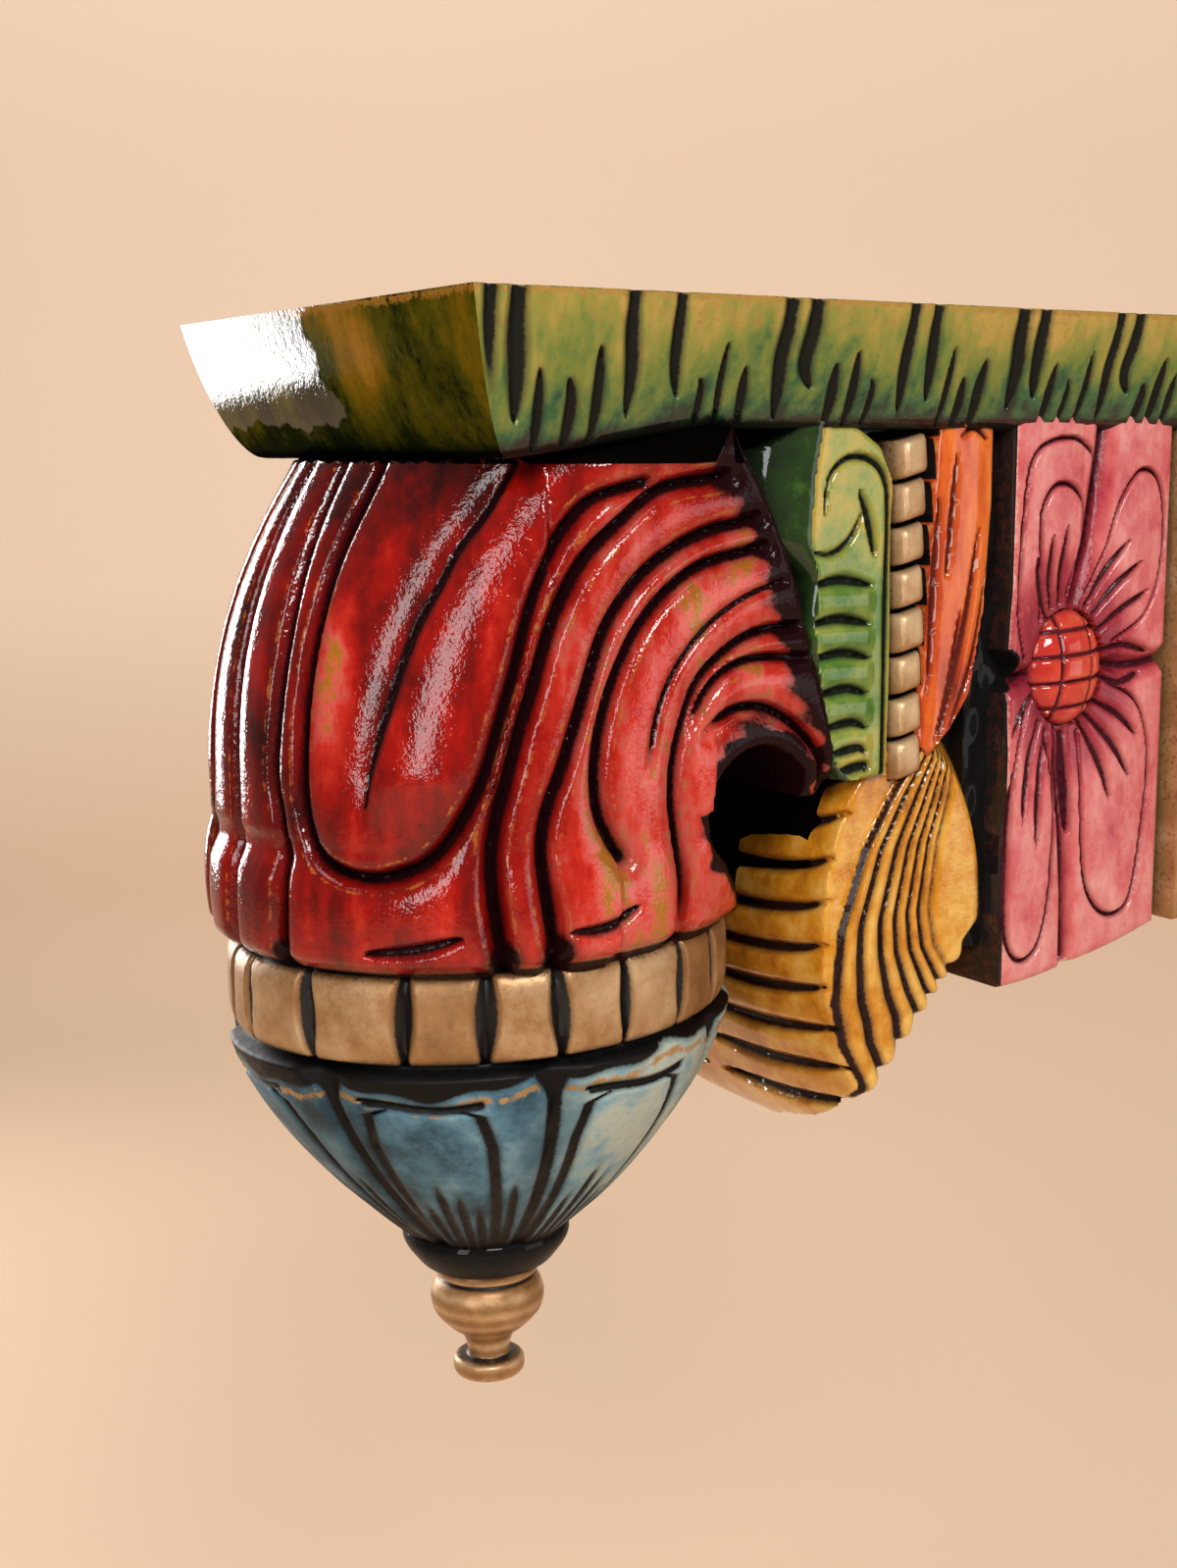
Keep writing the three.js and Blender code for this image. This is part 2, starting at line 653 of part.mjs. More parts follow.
function turning(rows, sides, cut) {
  const [start, end] = [rows[0][1], rows.at(-1)[1]];
  const profile = [[0, start], ...rows, [0, end]].map(([radius, z]) => new THREE.Vector2(radius, z));
  const geometry = new THREE.LatheGeometry(profile, sides);
  moved(geometry, (point) => {
    const [radius, turn, z] = [Math.hypot(point.x, point.z), Math.atan2(point.x, point.z), point.y];
    const carved = radius > 0 ? radius - cut(turn, z, radius) : 0;
    point.set(carved * Math.sin(turn), -carved * Math.cos(turn), z);
  });
  return solidOf(geometry);
}

const bandRows = [
  [bud.bandRadius - 2.5, 0], [bud.bandRadius, -2.5],
  [bud.bandRadius, -bud.band + 3], [bud.bandRadius - 2, -bud.band],
];

function coneRows() {
  const cone = evenly(-bud.band + 1, -bud.cone, 6);
  return [
    ...cone.map((z) => [budRadius(z), z]),
    [bud.collarRadius, -bud.cone - 0.8], [bud.collarRadius + 0.6, -bud.cone - 4],
    [bud.collarRadius - 3, -bud.cone - 7], [10, -bud.cone - 8.5],
  ];
}

function budSolid() {
  const gaps = (turn, z, radius) => (radius > bud.bandRadius - 2.2 ? padGap(turn) : 0);
  const band = turning(bandRows, bud.pads * 3, gaps);
  const cone = turning(coneRows(), bud.petals * 7, petalCut);
  return band.add(cone).add(finialSolid());
}

// The room that the bud takes, with the joint left round it
function budRoom() {
  const rows = [...bandRows, ...coneRows()].map(([radius, z]) => [radius + joint, z]);
  return turning(rows, bud.pads * 2, () => 0);
}

// Depth of the gaps between the gold pads, and of the carving on the petals
function padGap(turn) {
  const share = mm.euclideanModulo((turn / (2 * Math.PI)) * bud.pads, 1);
  return Math.min(share, 1 - share) < 0.05 ? 2.4 : 0;
}

function petalCut(turn, z) {
  if (z < -bud.cone) return 0;
  const share = mm.euclideanModulo((turn / (2 * Math.PI)) * bud.petals, 1);
  const fromEdge = Math.min(share, 1 - share);
  const fade = smooth(-bud.cone, -bud.cone + 12, z);
  if (fromEdge < 0.05) return 3.4 * fade;
  return fromEdge < 0.2 ? 0 : 1.4 * fade * smooth(-bud.band - 2, -bud.band - 10, z);
}

function finialSolid() {
  const top = -bud.cone - 6;
  const profile = [
    [0, top], [9.5, top], [11.5, top - 3.5], [12.4, top - 5], [10.8, top - 5.8],
    [12.8, top - 8], [13.6, top - 11.5], [12.2, top - 15.5], [8.2, top - 19], [5.6, top - 22],
    [4.9, top - 25.5], [8.2, top - 26.6], [8.4, top - 29.4], [6.8, top - 30.8], [0, top - 31.2],
  ].map(([radius, z]) => new THREE.Vector2(radius, z));
  const geometry = new THREE.LatheGeometry(profile, 18);
  return solidOf(moved(geometry, (point) => point.set(point.x, point.z, point.y)));
}

function turned(solid, lift) {
  const geometry = geometryOf(solid);
  geometry.rotateX(radians(bud.lean));
  geometry.translate(0, axisY, stem.bottom + lift);
  return solidOf(geometry);
}

function bracketSolid() {
  const moulding = joined([
    mouldingBlock(0, endBlock.start + 2, shelfWidth / 2, 1),
    mouldingBlock(endBlock.start - 3, reach, shelfWidth / 2 + mouldingBreak, 0.4),
  ]).subtract(joined(mouldingStrokes()));
  const halves = joined(onBothSides((side) => [scrollHalf(side)]));
  const scrollWork = halves.subtract(joined(onBothSides(cornerSash)));
  const roll = voluteSolid().subtract(joined([...onBothSides(voluteUnderside), ...onBothSides(voluteChips)]));
  const panels = onBothSides((side) => [
    curledLeaf(side), ...beadStrip(side), uprightPetal(side), ...blossomPetals(side), blossomButton(side),
  ]);
  const body = joined([coreSolid(), scrollWork, roll, flowerBlock(), endSolid(), ...panels, moulding]);
  const clearance = turned(budRoom(), -joint + 0.05);
  return body.subtract(clearance);
}

const finishes = {
  lacquer: new THREE.MeshStandardMaterial({ color: '#a5241d', roughness: 0.3, metalness: 0 }),
  budPaint: new THREE.MeshStandardMaterial({ color: '#7fa3b0', roughness: 0.45, metalness: 0 }),
};

function subPart(name, solid, finish) {
  const mesh = new THREE.Mesh(tidied(geometryOf(solid)), finish);
  mesh.name = name;
  return mesh;
}

const bracket = subPart('carved_bracket', bracketSolid(), finishes.lacquer);
const hangingBud = subPart('hanging_bud', budSolid(), finishes.budPaint);
hangingBud.position.set(0, axisY, stem.bottom - joint);
hangingBud.rotation.x = radians(bud.lean);

const wallBracket = new THREE.Group();
wallBracket.add(bracket, hangingBud);
wallBracket.position.set(0, -reach, backHeight / 2);

export default wallBracket;
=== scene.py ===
"""Carved and painted wooden wall bracket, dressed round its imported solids.

Shapes are worked out in millimetres in the carver's frame: x across, y from the shelf's front edge
to the wall, z up from the top of the shelf. to_row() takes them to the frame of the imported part.
"""

import logging
import math
from dataclasses import dataclass, replace
from enum import Enum
from itertools import product
from typing import Callable, Iterable, Iterator, Sequence

import bmesh
import bpy
import numpy as np
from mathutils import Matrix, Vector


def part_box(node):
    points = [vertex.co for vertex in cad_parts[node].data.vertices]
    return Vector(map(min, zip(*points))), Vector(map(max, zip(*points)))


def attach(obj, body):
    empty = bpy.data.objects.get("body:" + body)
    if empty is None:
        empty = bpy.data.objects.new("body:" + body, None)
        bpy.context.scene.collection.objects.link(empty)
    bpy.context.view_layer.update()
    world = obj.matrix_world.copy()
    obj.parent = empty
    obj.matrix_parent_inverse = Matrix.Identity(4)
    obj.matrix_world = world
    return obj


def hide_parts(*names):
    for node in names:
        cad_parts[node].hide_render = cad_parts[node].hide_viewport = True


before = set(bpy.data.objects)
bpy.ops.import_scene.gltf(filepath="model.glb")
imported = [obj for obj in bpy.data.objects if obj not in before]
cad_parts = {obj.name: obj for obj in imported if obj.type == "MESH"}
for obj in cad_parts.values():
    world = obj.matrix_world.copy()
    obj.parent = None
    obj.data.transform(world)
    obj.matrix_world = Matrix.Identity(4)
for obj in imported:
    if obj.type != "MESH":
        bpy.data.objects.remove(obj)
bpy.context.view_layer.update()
LOG = logging.getLogger("bracket")

# From the shelf's front edge to the wall, and from the part's origin up to the shelf's top
REACH = 250.0
SHELF_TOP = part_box("carved_bracket")[1][2] * 1000.0
BODY = "root"
# Points nearer than this are one, in metres, and bends above this angle stay sharp
WELD = 2e-6
SHARP = math.radians(50)
CORNERS = tuple(product((0, 1), repeat=3))
GUIDES = ("groove", "edge", "tone", "gloss")
BLUNT, FINE = (1.0, 1.0), (0.0, 0.0)
Array = np.ndarray
Place = tuple[float, float, float]
Path = Sequence[tuple[float, float]]
Cut = tuple[Path, float, tuple[float, float]]


class Slot(Enum):
    """The record's material slots."""

    BRACKET = "bracket_paint"
    BUD = "bud_paint"


class Node(Enum):
    """The solids that the pieces stand for."""

    BRACKET = "carved_bracket"
    BUD = "hanging_bud"


class Coat(Enum):
    """How a paint was finished: weight and roughness of the clear coat over it."""

    LACQUER = (1.0, 0.05)
    VARNISH = (0.7, 0.16)
    BARE = (0.0, 0.3)


# Plain arithmetic on whole arrays


def smooth(start: float, end: float, value: Array) -> Array:
    """Eases from 0 at start to 1 at end."""
    share = np.clip((value - start) / (end - start), 0.0, 1.0)
    return share * share * (3.0 - 2.0 * share)


def curve(points: Path, steps: int = 6) -> Array:
    """Draws a smooth line through the given points.

    Args:
        points: places that the line passes through.
        steps: pieces that each stretch is divided into.

    Returns:
        The line as an array of places.
    """
    given = np.asarray(points, float)
    ends = np.vstack([2 * given[0] - given[1], given, 2 * given[-1] - given[-2]])
    share = np.linspace(0, 1, steps, endpoint=False)[:, None]
    line = []
    for a, b, c, d in zip(ends, ends[1:], ends[2:], ends[3:]):
        line.append(0.5 * (2 * b + (c - a) * share + (2 * a - 5 * b + 4 * c - d) * share**2
                           + (3 * b - a - 3 * c + d) * share**3))
    return np.vstack([*line, given[-1:]])


def stretches(u: Array, v: Array, path: Path, steps: int) -> Iterator[tuple[Array, Array]]:
    """Goes along a smooth line, one straight stretch after another.

    Args:
        u: first coordinate of each place.
        v: second coordinate of each place.
        path: places that the line passes through.
        steps: stretches from each of them to the next.

    Returns:
        For each stretch, the distance to it and the share of the line's length at the nearest point.
    """
    line = curve(path, steps)
    lengths = np.hypot(*(line[1:] - line[:-1]).T)
    along = np.concatenate([[0.0], np.cumsum(lengths)]) / lengths.sum()
    for a, b, start, end in zip(line[:-1], line[1:], along[:-1], along[1:]):
        run = b - a
        share = np.clip(((u - a[0]) * run[0] + (v - a[1]) * run[1]) / max(run @ run, 1e-9), 0, 1)
        away = np.hypot(u - a[0] - share * run[0], v - a[1] - share * run[1])
        yield away, start + share * (end - start)


def stroke(u: Array, v: Array, path: Path, width: float, tips: tuple[float, float] = FINE) -> Array:
    """Works out one stroke of a gouge along a smooth line.

    Args:
        u: first coordinate of each place.
        v: second coordinate of each place.
        path: places that the stroke passes through.
        width: half of the stroke's width at its middle.
        tips: share of that width left at the start and at the end.

    Returns:
        1 on the stroke's bottom, falling to 0 at its edges.
    """
    deep = np.zeros(np.broadcast(u, v).shape)
    for away, place in stretches(u, v, path, 6):
        full = np.sqrt(np.clip(np.sin(np.pi * place), 0, 1))
        tip = tips[0] * (1 - place) + tips[1] * place
        deep = np.maximum(deep, np.clip(1 - away / (width * np.maximum(full, tip) + 1e-6), 0, 1))
    return deep


def gouged(u: Array, v: Array, cuts: Iterable[Cut]) -> Array:
    """Deepest of several strokes at each place.

    Args:
        u: first coordinate of each place.
        v: second coordinate of each place.
        cuts: path, half width and tips of each stroke.

    Returns:
        1 on a stroke's bottom, falling to 0 at its edges.
    """
    deep = np.zeros(np.broadcast(u, v).shape)
    for path, width, tips in cuts:
        deep = np.maximum(deep, stroke(u, v, path, width, tips))
    return deep


def line_distance(u: Array, v: Array, path: Path) -> tuple[Array, Array]:
    """Finds how far places are from a smooth line.

    Args:
        u: first coordinate of each place.
        v: second coordinate of each place.
        path: places that the line passes through.

    Returns:
        The distance, and the share of the line's length where it is nearest.
    """
    shape = np.broadcast(u, v).shape
    nearest, place = np.full(shape, 1e3), np.zeros(shape)
    for away, here in stretches(u, v, path, 3):
        place = np.where(away < nearest, here, place)
        nearest = np.minimum(nearest, away)
    return nearest, place


def at_height(path: Path, z: Array) -> Array:
    """Place on a line at each height; the line is given from the top down as heights and places."""
    return np.interp(-z, [-height for height, _ in path], [place for _, place in path])


def eased_edge(inside: Array, radius: float) -> Array:
    """Drop of a rounded edge, by the distance inside it: radius at the edge, 0 from radius on."""
    share = 1 - np.clip(inside / radius, 0, 1)
    return radius * (1 - np.sqrt(np.clip(1 - share * share, 0, 1)))


def to_row(points: Array) -> Array:
    """Takes places from the carver's frame in millimetres to the part's frame in metres."""
    return (points + np.array([0.0, -REACH, SHELF_TOP])) / 1000.0


# Meshes


def grid_faces(first: Array, second: Array, turned: bool = False) -> Array:
    """Quads between rows of numbered points and the rows after them.

    Args:
        first: the points' numbers, a row for each line of the grid.
        second: the numbers in the rows that follow.
        turned: makes the quads face the other way.

    Returns:
        The quads.
    """
    corners = [first[:, :-1], first[:, 1:], second[:, 1:], second[:, :-1]]
    if turned:
        corners = [corners[0], *corners[:0:-1]]
    return np.stack(corners, -1).reshape(-1, 4)


@dataclass
class Carving:
    """A mesh with the paint's guides on its points.

    Attributes:
        points: places in the carver's frame.
        faces: arrays of quads or triangles.
        groove: how dark the paint is at each point, from the cuts and from painted shade, 0 to 1.
        edge: how far the paint is rubbed at each point, 0 to 1.
        tone: place on the paint's own range of colours at each point, 0 to 1.
        zone: number of the finish on each face.
        gloss: how much of the clear coat is left at each point, all of it if not given.
    """

    points: Array
    faces: list[Array]
    groove: Array
    edge: Array
    tone: Array
    zone: Array
    gloss: Array | None = None

    def __post_init__(self) -> None:
        """Leaves the whole clear coat where nothing else is said."""
        if self.gloss is None:
            self.gloss = np.ones(len(self.points))

    def joined(self, other: "Carving") -> "Carving":
        """Puts two carvings into one mesh.

        Args:
            other: the carving to add.

        Returns:
            The two as one.
        """
        shifted = [faces + len(self.points) for faces in other.faces]
        layers = {key: np.concatenate([getattr(self, key), getattr(other, key)]) for key in (*GUIDES, "zone")}
        return Carving(np.vstack([self.points, other.points]), [*self.faces, *shifted], **layers)

    def mirrored(self) -> "Carving":
        """Copies the carving to the other side of the bracket."""
        return replace(self, points=self.points * [-1, 1, 1], faces=[faces[:, ::-1] for faces in self.faces])

    def piece(
        self, name: str, finishes: Sequence[bpy.types.Material], weld: bool = False
    ) -> bpy.types.Object:
        """Makes the Blender object.

        Args:
            name: the object's name.
            finishes: its materials, in the order of the zones.
            weld: joins points that lie in the same place.

        Returns:
            The object, in the scene.
        """
        mesh = bpy.data.meshes.new(name)
        faces = [face for group in self.faces for face in group.tolist()]
        mesh.from_pydata(to_row(self.points).tolist(), [], faces)
        for key in GUIDES:
            layer = mesh.attributes.new(key, "FLOAT", "POINT")
            layer.data.foreach_set("value", getattr(self, key).astype(np.float32))
        for finish in finishes:
            mesh.materials.append(finish)
        mesh.polygons.foreach_set("material_index", self.zone.astype(np.int32))
        mesh.polygons.foreach_set("use_smooth", np.ones(len(faces), bool))
        if weld:
            shell = bmesh.new()
            shell.from_mesh(mesh)
            bmesh.ops.remove_doubles(shell, verts=shell.verts, dist=WELD)
            shell.to_mesh(mesh)
            shell.free()
        mesh.update()
        mesh.validate()
        mesh.set_sharp_from_angle(angle=SHARP)
        thing = bpy.data.objects.new(name, mesh)
        bpy.context.scene.collection.objects.link(thing)
        return thing


@dataclass
class WoodBlock:
    """A block of wood on an even grid, from which a shape is cut by a field that is negative inside.

    Attributes:
        low: lowest corner.
        high: highest corner.
        cell: grid spacing.
    """

    low: Place
    high: Place
    cell: float

    def axes(self) -> tuple[Array, Array, Array]:
        """Grid lines along x, y and z, shaped to be combined."""
        lines = [np.arange(a, b + self.cell, self.cell) for a, b in zip(self.low, self.high)]
        return lines[0][:, None, None], lines[1][None, :, None], lines[2][None, None, :]

    def cut(self, values: Array) -> tuple[Array, Array]:
        """Finds the surface of the field.

        Args:
            values: the field on the grid.

        Returns:
            The surface's points and its quads.
        """
        values = values.astype(np.float32)
        inside = values < 0
        trim = [slice(0, -1), slice(1, None)]
        count = sum(inside[trim[i], trim[j], trim[k]].astype(np.uint8) for i, j, k in CORNERS)
        active = (count > 0) & (count < 8)
        cells = np.argwhere(active)
        held = np.stack([values[tuple((cells + corner).T)] for corner in CORNERS], 1)
        total = np.zeros((len(cells), 3))
        crossings = np.zeros(len(cells))
        for a in range(8):
            for b in range(a + 1, 8):
                run = np.subtract(CORNERS[b], CORNERS[a])
                if np.abs(run).sum() != 1:
                    continue
                crossed = (held[:, a] < 0) != (held[:, b] < 0)
                gap = np.where(crossed, held[:, a] - held[:, b], 1.0)
                share = np.where(crossed, held[:, a] / gap, 0.0)
                total += (np.array(CORNERS[a]) + share[:, None] * run) * crossed[:, None]
                crossings += crossed
        place = cells + total / crossings[:, None]
        number = np.full(active.shape, -1, np.int32)
        number[active] = np.arange(len(cells))
        quads = [self._quads(inside, number, axis) for axis in range(3)]
        return np.array(self.low) + self._settled(values, place) * self.cell, np.vstack(quads)

    @staticmethod
    def _quads(inside: Array, number: Array, axis: int) -> Array:
        """Quads across the grid edges along one axis that cross the surface.

        Args:
            inside: whether each grid point is in the wood.
            number: number of the surface's point in each cell.
            axis: the axis.

        Returns:
            The quads, facing out.
        """
        turn = [(axis + i) % 3 for i in range(3)]
        solid = np.transpose(inside, turn)
        ids = np.transpose(number, turn)
        change = solid[:-1, 1:-1, 1:-1] != solid[1:, 1:-1, 1:-1]
        i, j, k = np.nonzero(change)
        quads = np.stack([ids[i, j, k], ids[i, j + 1, k], ids[i, j + 1, k + 1], ids[i, j, k + 1]], 1)
        backward = ~solid[:-1, 1:-1, 1:-1][change]
        quads[backward] = quads[backward][:, ::-1]
        return quads

    @staticmethod
    def _settled(values: Array, place: Array, rounds: int = 2) -> Array:
        """Moves points onto the surface of the field, along its slope.

        Args:
            values: the field on the grid.
            place: the points, in cells.
            rounds: times that they are moved.

        Returns:
            The moved points.
        """
        slopes = np.gradient(values)
        limit = np.array(values.shape) - 1.001
        for _ in range(rounds):
            here = np.clip(place, 0, limit)
            base = here.astype(int)
            part = here - base
            found = np.zeros((len(place), 4))
            for corner in CORNERS:
                weight = np.prod(np.where(corner, part, 1 - part), axis=1)
                at = tuple((base + corner).T)
                for column, grid in enumerate([values, *slopes]):
                    found[:, column] += weight * grid[at]
            steep = np.maximum((found[:, 1:] ** 2).sum(1), 0.05)
            step = -(found[:, 0] / steep)[:, None] * found[:, 1:]
            length = np.maximum(np.linalg.norm(step, axis=1, keepdims=True), 1e-9)
            place = place + step * np.minimum(1, 0.5 / length)
        return place


@dataclass
class Relief:
    """A carved face on a grid, as one side of a block shows it.

    Attributes:
        y: y of each grid place.
        z: z of each grid place.
        x: how far out each grid place stands.
        groove: how dark the paint is there, from the cuts and from painted shade, 0 to 1.
        edge: how far the paint is rubbed there, 0 to 1.
        tone: place on the paint's own range of colours there, 0 to 1.
        zone: number of the finish there.
    """

    y: Array
    z: Array
    x: Array
    groove: Array | float = 0.0
    edge: Array | float = 0.0
    tone: Array | float = 0.5
    zone: Array | int = 0

    def __post_init__(self) -> None:
        """Spreads every value over the whole grid."""
        shape = np.broadcast(self.y, self.z).shape
        for key in ("y", "z", "x", "groove", "edge", "tone", "zone"):
            setattr(self, key, np.broadcast_to(getattr(self, key), shape).copy())

    def lay(self, where: Array, **values: Array | float) -> None:
        """Sets the named grids to the given values wherever the mask holds."""
        for key, value in values.items():
            setattr(self, key, np.where(where, value, getattr(self, key)))

    def slab(self, inner: float = 0.0) -> Carving:
        """Closes the face by walls to a flat inner face.

        At the middle of the bracket the inner face is left open, to be welded to the other side.

        Args:
            inner: x of the flat inner face.

        Returns:
            The slab for the right side.
        """
        number = np.arange(self.x.size).reshape(self.x.shape)
        faces = grid_faces(number[:-1], number[1:], turned=True)
        rim = np.concatenate([number[:, 0], number[-1, 1:], number[-2::-1, -1], number[0, -2:0:-1]])
        points = np.stack([self.x, self.y, self.z], -1).reshape(-1, 3)
        back = points[rim] * [0, 1, 1] + [inner, 0, 0]
        back_number = np.arange(len(rim)) + len(points)
        walls = np.stack([rim, back_number, np.roll(back_number, -1), np.roll(rim, -1)], 1)
        caps = [back_number[None, ::-1]] if inner else []
        zone = [self.zone[:-1, :-1].reshape(-1), self.zone.reshape(-1)[rim], [0] * len(caps)]
        guides = [
            np.concatenate([guide.reshape(-1), guide.reshape(-1)[rim]])
            for guide in (self.groove, self.edge, self.tone)
        ]
        return Carving(np.vstack([points, back]), [faces, walls, *caps], *guides, np.concatenate(zone))

    def both_sides(self, name: str, finishes: Sequence[bpy.types.Material]) -> bpy.types.Object:
        """Makes one piece of the face and its mirror image on the other side of the bracket."""
        slab = self.slab()
        return slab.joined(slab.mirrored()).piece(name, finishes, weld=True)


# Paints


def linear(colour: str) -> tuple[float, float, float, float]:
    """Turns an sRGB hex colour into linear light.

    Args:
        colour: the colour, as # and six digits.

    Returns:
        Red, green, blue and a full alpha.
    """
    parts = [int(colour[i:i + 2], 16) / 255 for i in (1, 3, 5)]
    bent = [part / 12.92 if part <= 0.04045 else ((part + 0.055) / 1.055) ** 2.4 for part in parts]
    return (*bent, 1.0)


def add_node(
    tree: bpy.types.NodeTree, kind: str, sets: dict | None = None, **links: object
) -> bpy.types.Node:
    """Adds a node to a tree.

    Args:
        tree: the tree.
        kind: the node's type.
        sets: properties to set on the node.
        links: for each input, by its number after "i" or its name, a socket to link or a value to set.

    Returns:
        The new node.
    """
    node = tree.nodes.new(kind)
    for key, value in (sets or {}).items():
        setattr(node, key, value)
    for key, value in links.items():
        socket = node.inputs[int(key[1:])] if key[1:].isdigit() else node.inputs[key.replace("_", " ")]
        if isinstance(value, bpy.types.NodeSocket):
            tree.links.new(value, socket)
        else:
            socket.default_value = value
    return node


def per_metre(millimetres: float) -> float:
    """Pattern scale that gives features of the stated size."""
    return 1000.0 / millimetres


@dataclass(frozen=True)
class Paint:
    """Hand-brushed paint on carved wood.

    Attributes:
        name: the material's name.
        range: colours over the tone, each with its place.
        groove: colour that lies in the cuts and in painted shade.
        rub: colour that shows where edges are rubbed.
        coat: clear coat over the paint.
        rough: roughness of the paint itself, smoothest and roughest.
        patch: size of the colour's patches in millimetres.
        drift: how far patches move the tone.
        rubbed: share of the edges that are rubbed through.
        metal: metallic share, for gold powder paint.
        brush: size of the brush's streaks in millimetres.
        bump: strength of the brushed surface.
        glaze_and_shade: how far the paint deepens beside the cuts, partly as an antique wash and partly as
            painted shade.
        shine: specular level under the coat.
        drawn: how the patches are drawn out along each axis, below 1 for longer ones.
        speck: size of the finest grain in millimetres, drawn coarse enough to show.
    """

    name: str
    range: tuple[tuple[float, str], ...]
    groove: str
    rub: str
    coat: Coat = Coat.LACQUER
    rough: tuple[float, float] = (0.72, 0.92)
    patch: float = 18.0
    drift: float = 0.5
    rubbed: float = 0.45
    metal: float = 0.0
    brush: float = 2.2
    bump: float = 0.12
    glaze_and_shade: float = 0.85
    shine: float = 0.15
    drawn: Place = (1.0, 1.0, 1.0)
    speck: float = 0.9

    def material(self) -> bpy.types.Material:
        """Builds the material: patches of tone, rubbed edges, dark cuts, brush marks and a clear coat.

        Returns:
            The material.
        """
        material = bpy.data.materials.new(self.name)
        material.use_nodes = True
        tree = material.node_tree
        tree.nodes.clear()
        add, scale = {"operation": "MULTIPLY_ADD"}, {"operation": "MULTIPLY"}
        less, held, blend = {"operation": "SUBTRACT"}, {"clamp": True}, {"data_type": "RGBA"}
        place = add_node(tree, "ShaderNodeTexCoord").outputs["Object"]
        groove, edge, tone, gloss = [
            add_node(tree, "ShaderNodeAttribute", {"attribute_name": key}).outputs["Fac"] for key in GUIDES
        ]
        drawn = add_node(tree, "ShaderNodeVectorMath", scale, i0=place, i1=self.drawn).outputs[0]
        patches, fine, specks = [
            add_node(tree, "ShaderNodeTexNoise", Vector=at, Scale=per_metre(size), Detail=detail,
                     Roughness=rough).outputs[0]
            for at, size, detail, rough in (
                (drawn, self.patch, 4.0, 0.6), (place, self.brush, 3.0, 0.7), (place, self.speck, 2.0, 0.5))
        ]
        # Colour over the tone, moved by the patches and the streaks of the brush
        moved = add_node(tree, "ShaderNodeMath", add, i0=patches, i1=self.drift * 2.2, i2=tone).outputs[0]
        centred = add_node(tree, "ShaderNodeMath", less, i0=moved, i1=self.drift * 1.1).outputs[0]
        streaked = add_node(tree, "ShaderNodeMath", add, i0=fine, i1=0.5, i2=centred).outputs[0]
        settled = add_node(tree, "ShaderNodeMath", less, i0=streaked, i1=0.25).outputs[0]
        ramp = add_node(tree, "ShaderNodeValToRGB", i0=settled)
        while len(ramp.color_ramp.elements) < len(self.range):
            ramp.color_ramp.elements.new(0.5)
        for element, (at, colour) in zip(ramp.color_ramp.elements, self.range):
            element.position = at
            element.color = linear(colour)
        # Rubbed edges, then the darkening beside the cuts, part antique wash and part painted shade, then the
        # dark of the cuts and of painted shade
        bare = 0.62 - 0.4 * self.rubbed
        worn = add_node(tree, "ShaderNodeMath", scale, i0=edge, i1=fine).outputs[0]
        shown = add_node(tree, "ShaderNodeMapRange", held, i0=worn, i1=bare, i2=bare + 0.16).outputs[0]
        colour = add_node(tree, "ShaderNodeMix", blend, i0=shown, i6=ramp.outputs[0],
                          i7=linear(self.rub)).outputs[2]
        # Painted shade: the paint darkens towards the first colour of its range beside the cuts and wherever
        # painted shade is laid
        glaze_shade_level = add_node(tree, "ShaderNodeMath", add, i0=fine, i1=0.5, i2=groove).outputs[0]
        glaze_shade = add_node(tree, "ShaderNodeMapRange", held, i0=glaze_shade_level, i1=0.24, i2=0.9, i3=0.0,
                         i4=self.glaze_and_shade).outputs[0]
        colour = add_node(tree, "ShaderNodeMix", blend, i0=glaze_shade, i6=colour,
                          i7=linear(self.range[0][1])).outputs[2]
        ragged = add_node(tree, "ShaderNodeMath", add, i0=specks, i1=0.4, i2=groove).outputs[0]
        dark = add_node(tree, "ShaderNodeMapRange", held, i0=ragged, i1=0.66, i2=0.86).outputs[0]
        colour = add_node(tree, "ShaderNodeMix", blend, i0=dark, i6=colour, i7=linear(self.groove)).outputs[2]
        # Brushed surface
        rough = add_node(tree, "ShaderNodeMapRange", held, i0=fine, i1=0.3, i2=0.7, i3=self.rough[0],
                         i4=self.rough[1]).outputs[0]
        height = add_node(tree, "ShaderNodeMath", add, i0=specks, i1=0.35, i2=fine).outputs[0]
        bump = add_node(tree, "ShaderNodeBump", Strength=self.bump, Distance=0.0002, Height=height).outputs[0]
        shader = add_node(tree, "ShaderNodeBsdfPrincipled", Base_Color=colour, Roughness=rough, Normal=bump)
        weight, coat_rough = self.coat.value
        shader.inputs["IOR"].default_value = 1.5
        shader.inputs["Specular IOR Level"].default_value = self.shine
        shader.inputs["Coat Weight"].default_value = weight
        shader.inputs["Coat Roughness"].default_value = coat_rough
        if self.metal:
            unworn = add_node(tree, "ShaderNodeMath", less, i0=1.0, i1=dark).outputs[0]
            metal = add_node(tree, "ShaderNodeMath", scale, i0=unworn, i1=self.metal).outputs[0]
            tree.links.new(metal, shader.inputs["Metallic"])
        if self.coat is not Coat.BARE:
            # The clear coat is thin in the cuts, and gone where the gloss is rubbed off
            over = add_node(tree, "ShaderNodeMapRange", held, i0=dark, i3=weight, i4=0.25).outputs[0]
            left = add_node(tree, "ShaderNodeMath", add, i0=fine, i1=0.8, i2=gloss).outputs[0]
            wet = add_node(tree, "ShaderNodeMapRange", held, i0=left, i1=0.8, i2=1.0, i3=0.02).outputs[0]
            coat = add_node(tree, "ShaderNodeMath", scale, i0=over, i1=wet).outputs[0]
            tree.links.new(coat, shader.inputs["Coat Weight"])
            tree.links.new(bump, shader.inputs["Coat Normal"])
        output = add_node(tree, "ShaderNodeOutputMaterial")
        tree.links.new(shader.outputs[0], output.inputs[0])
        return material
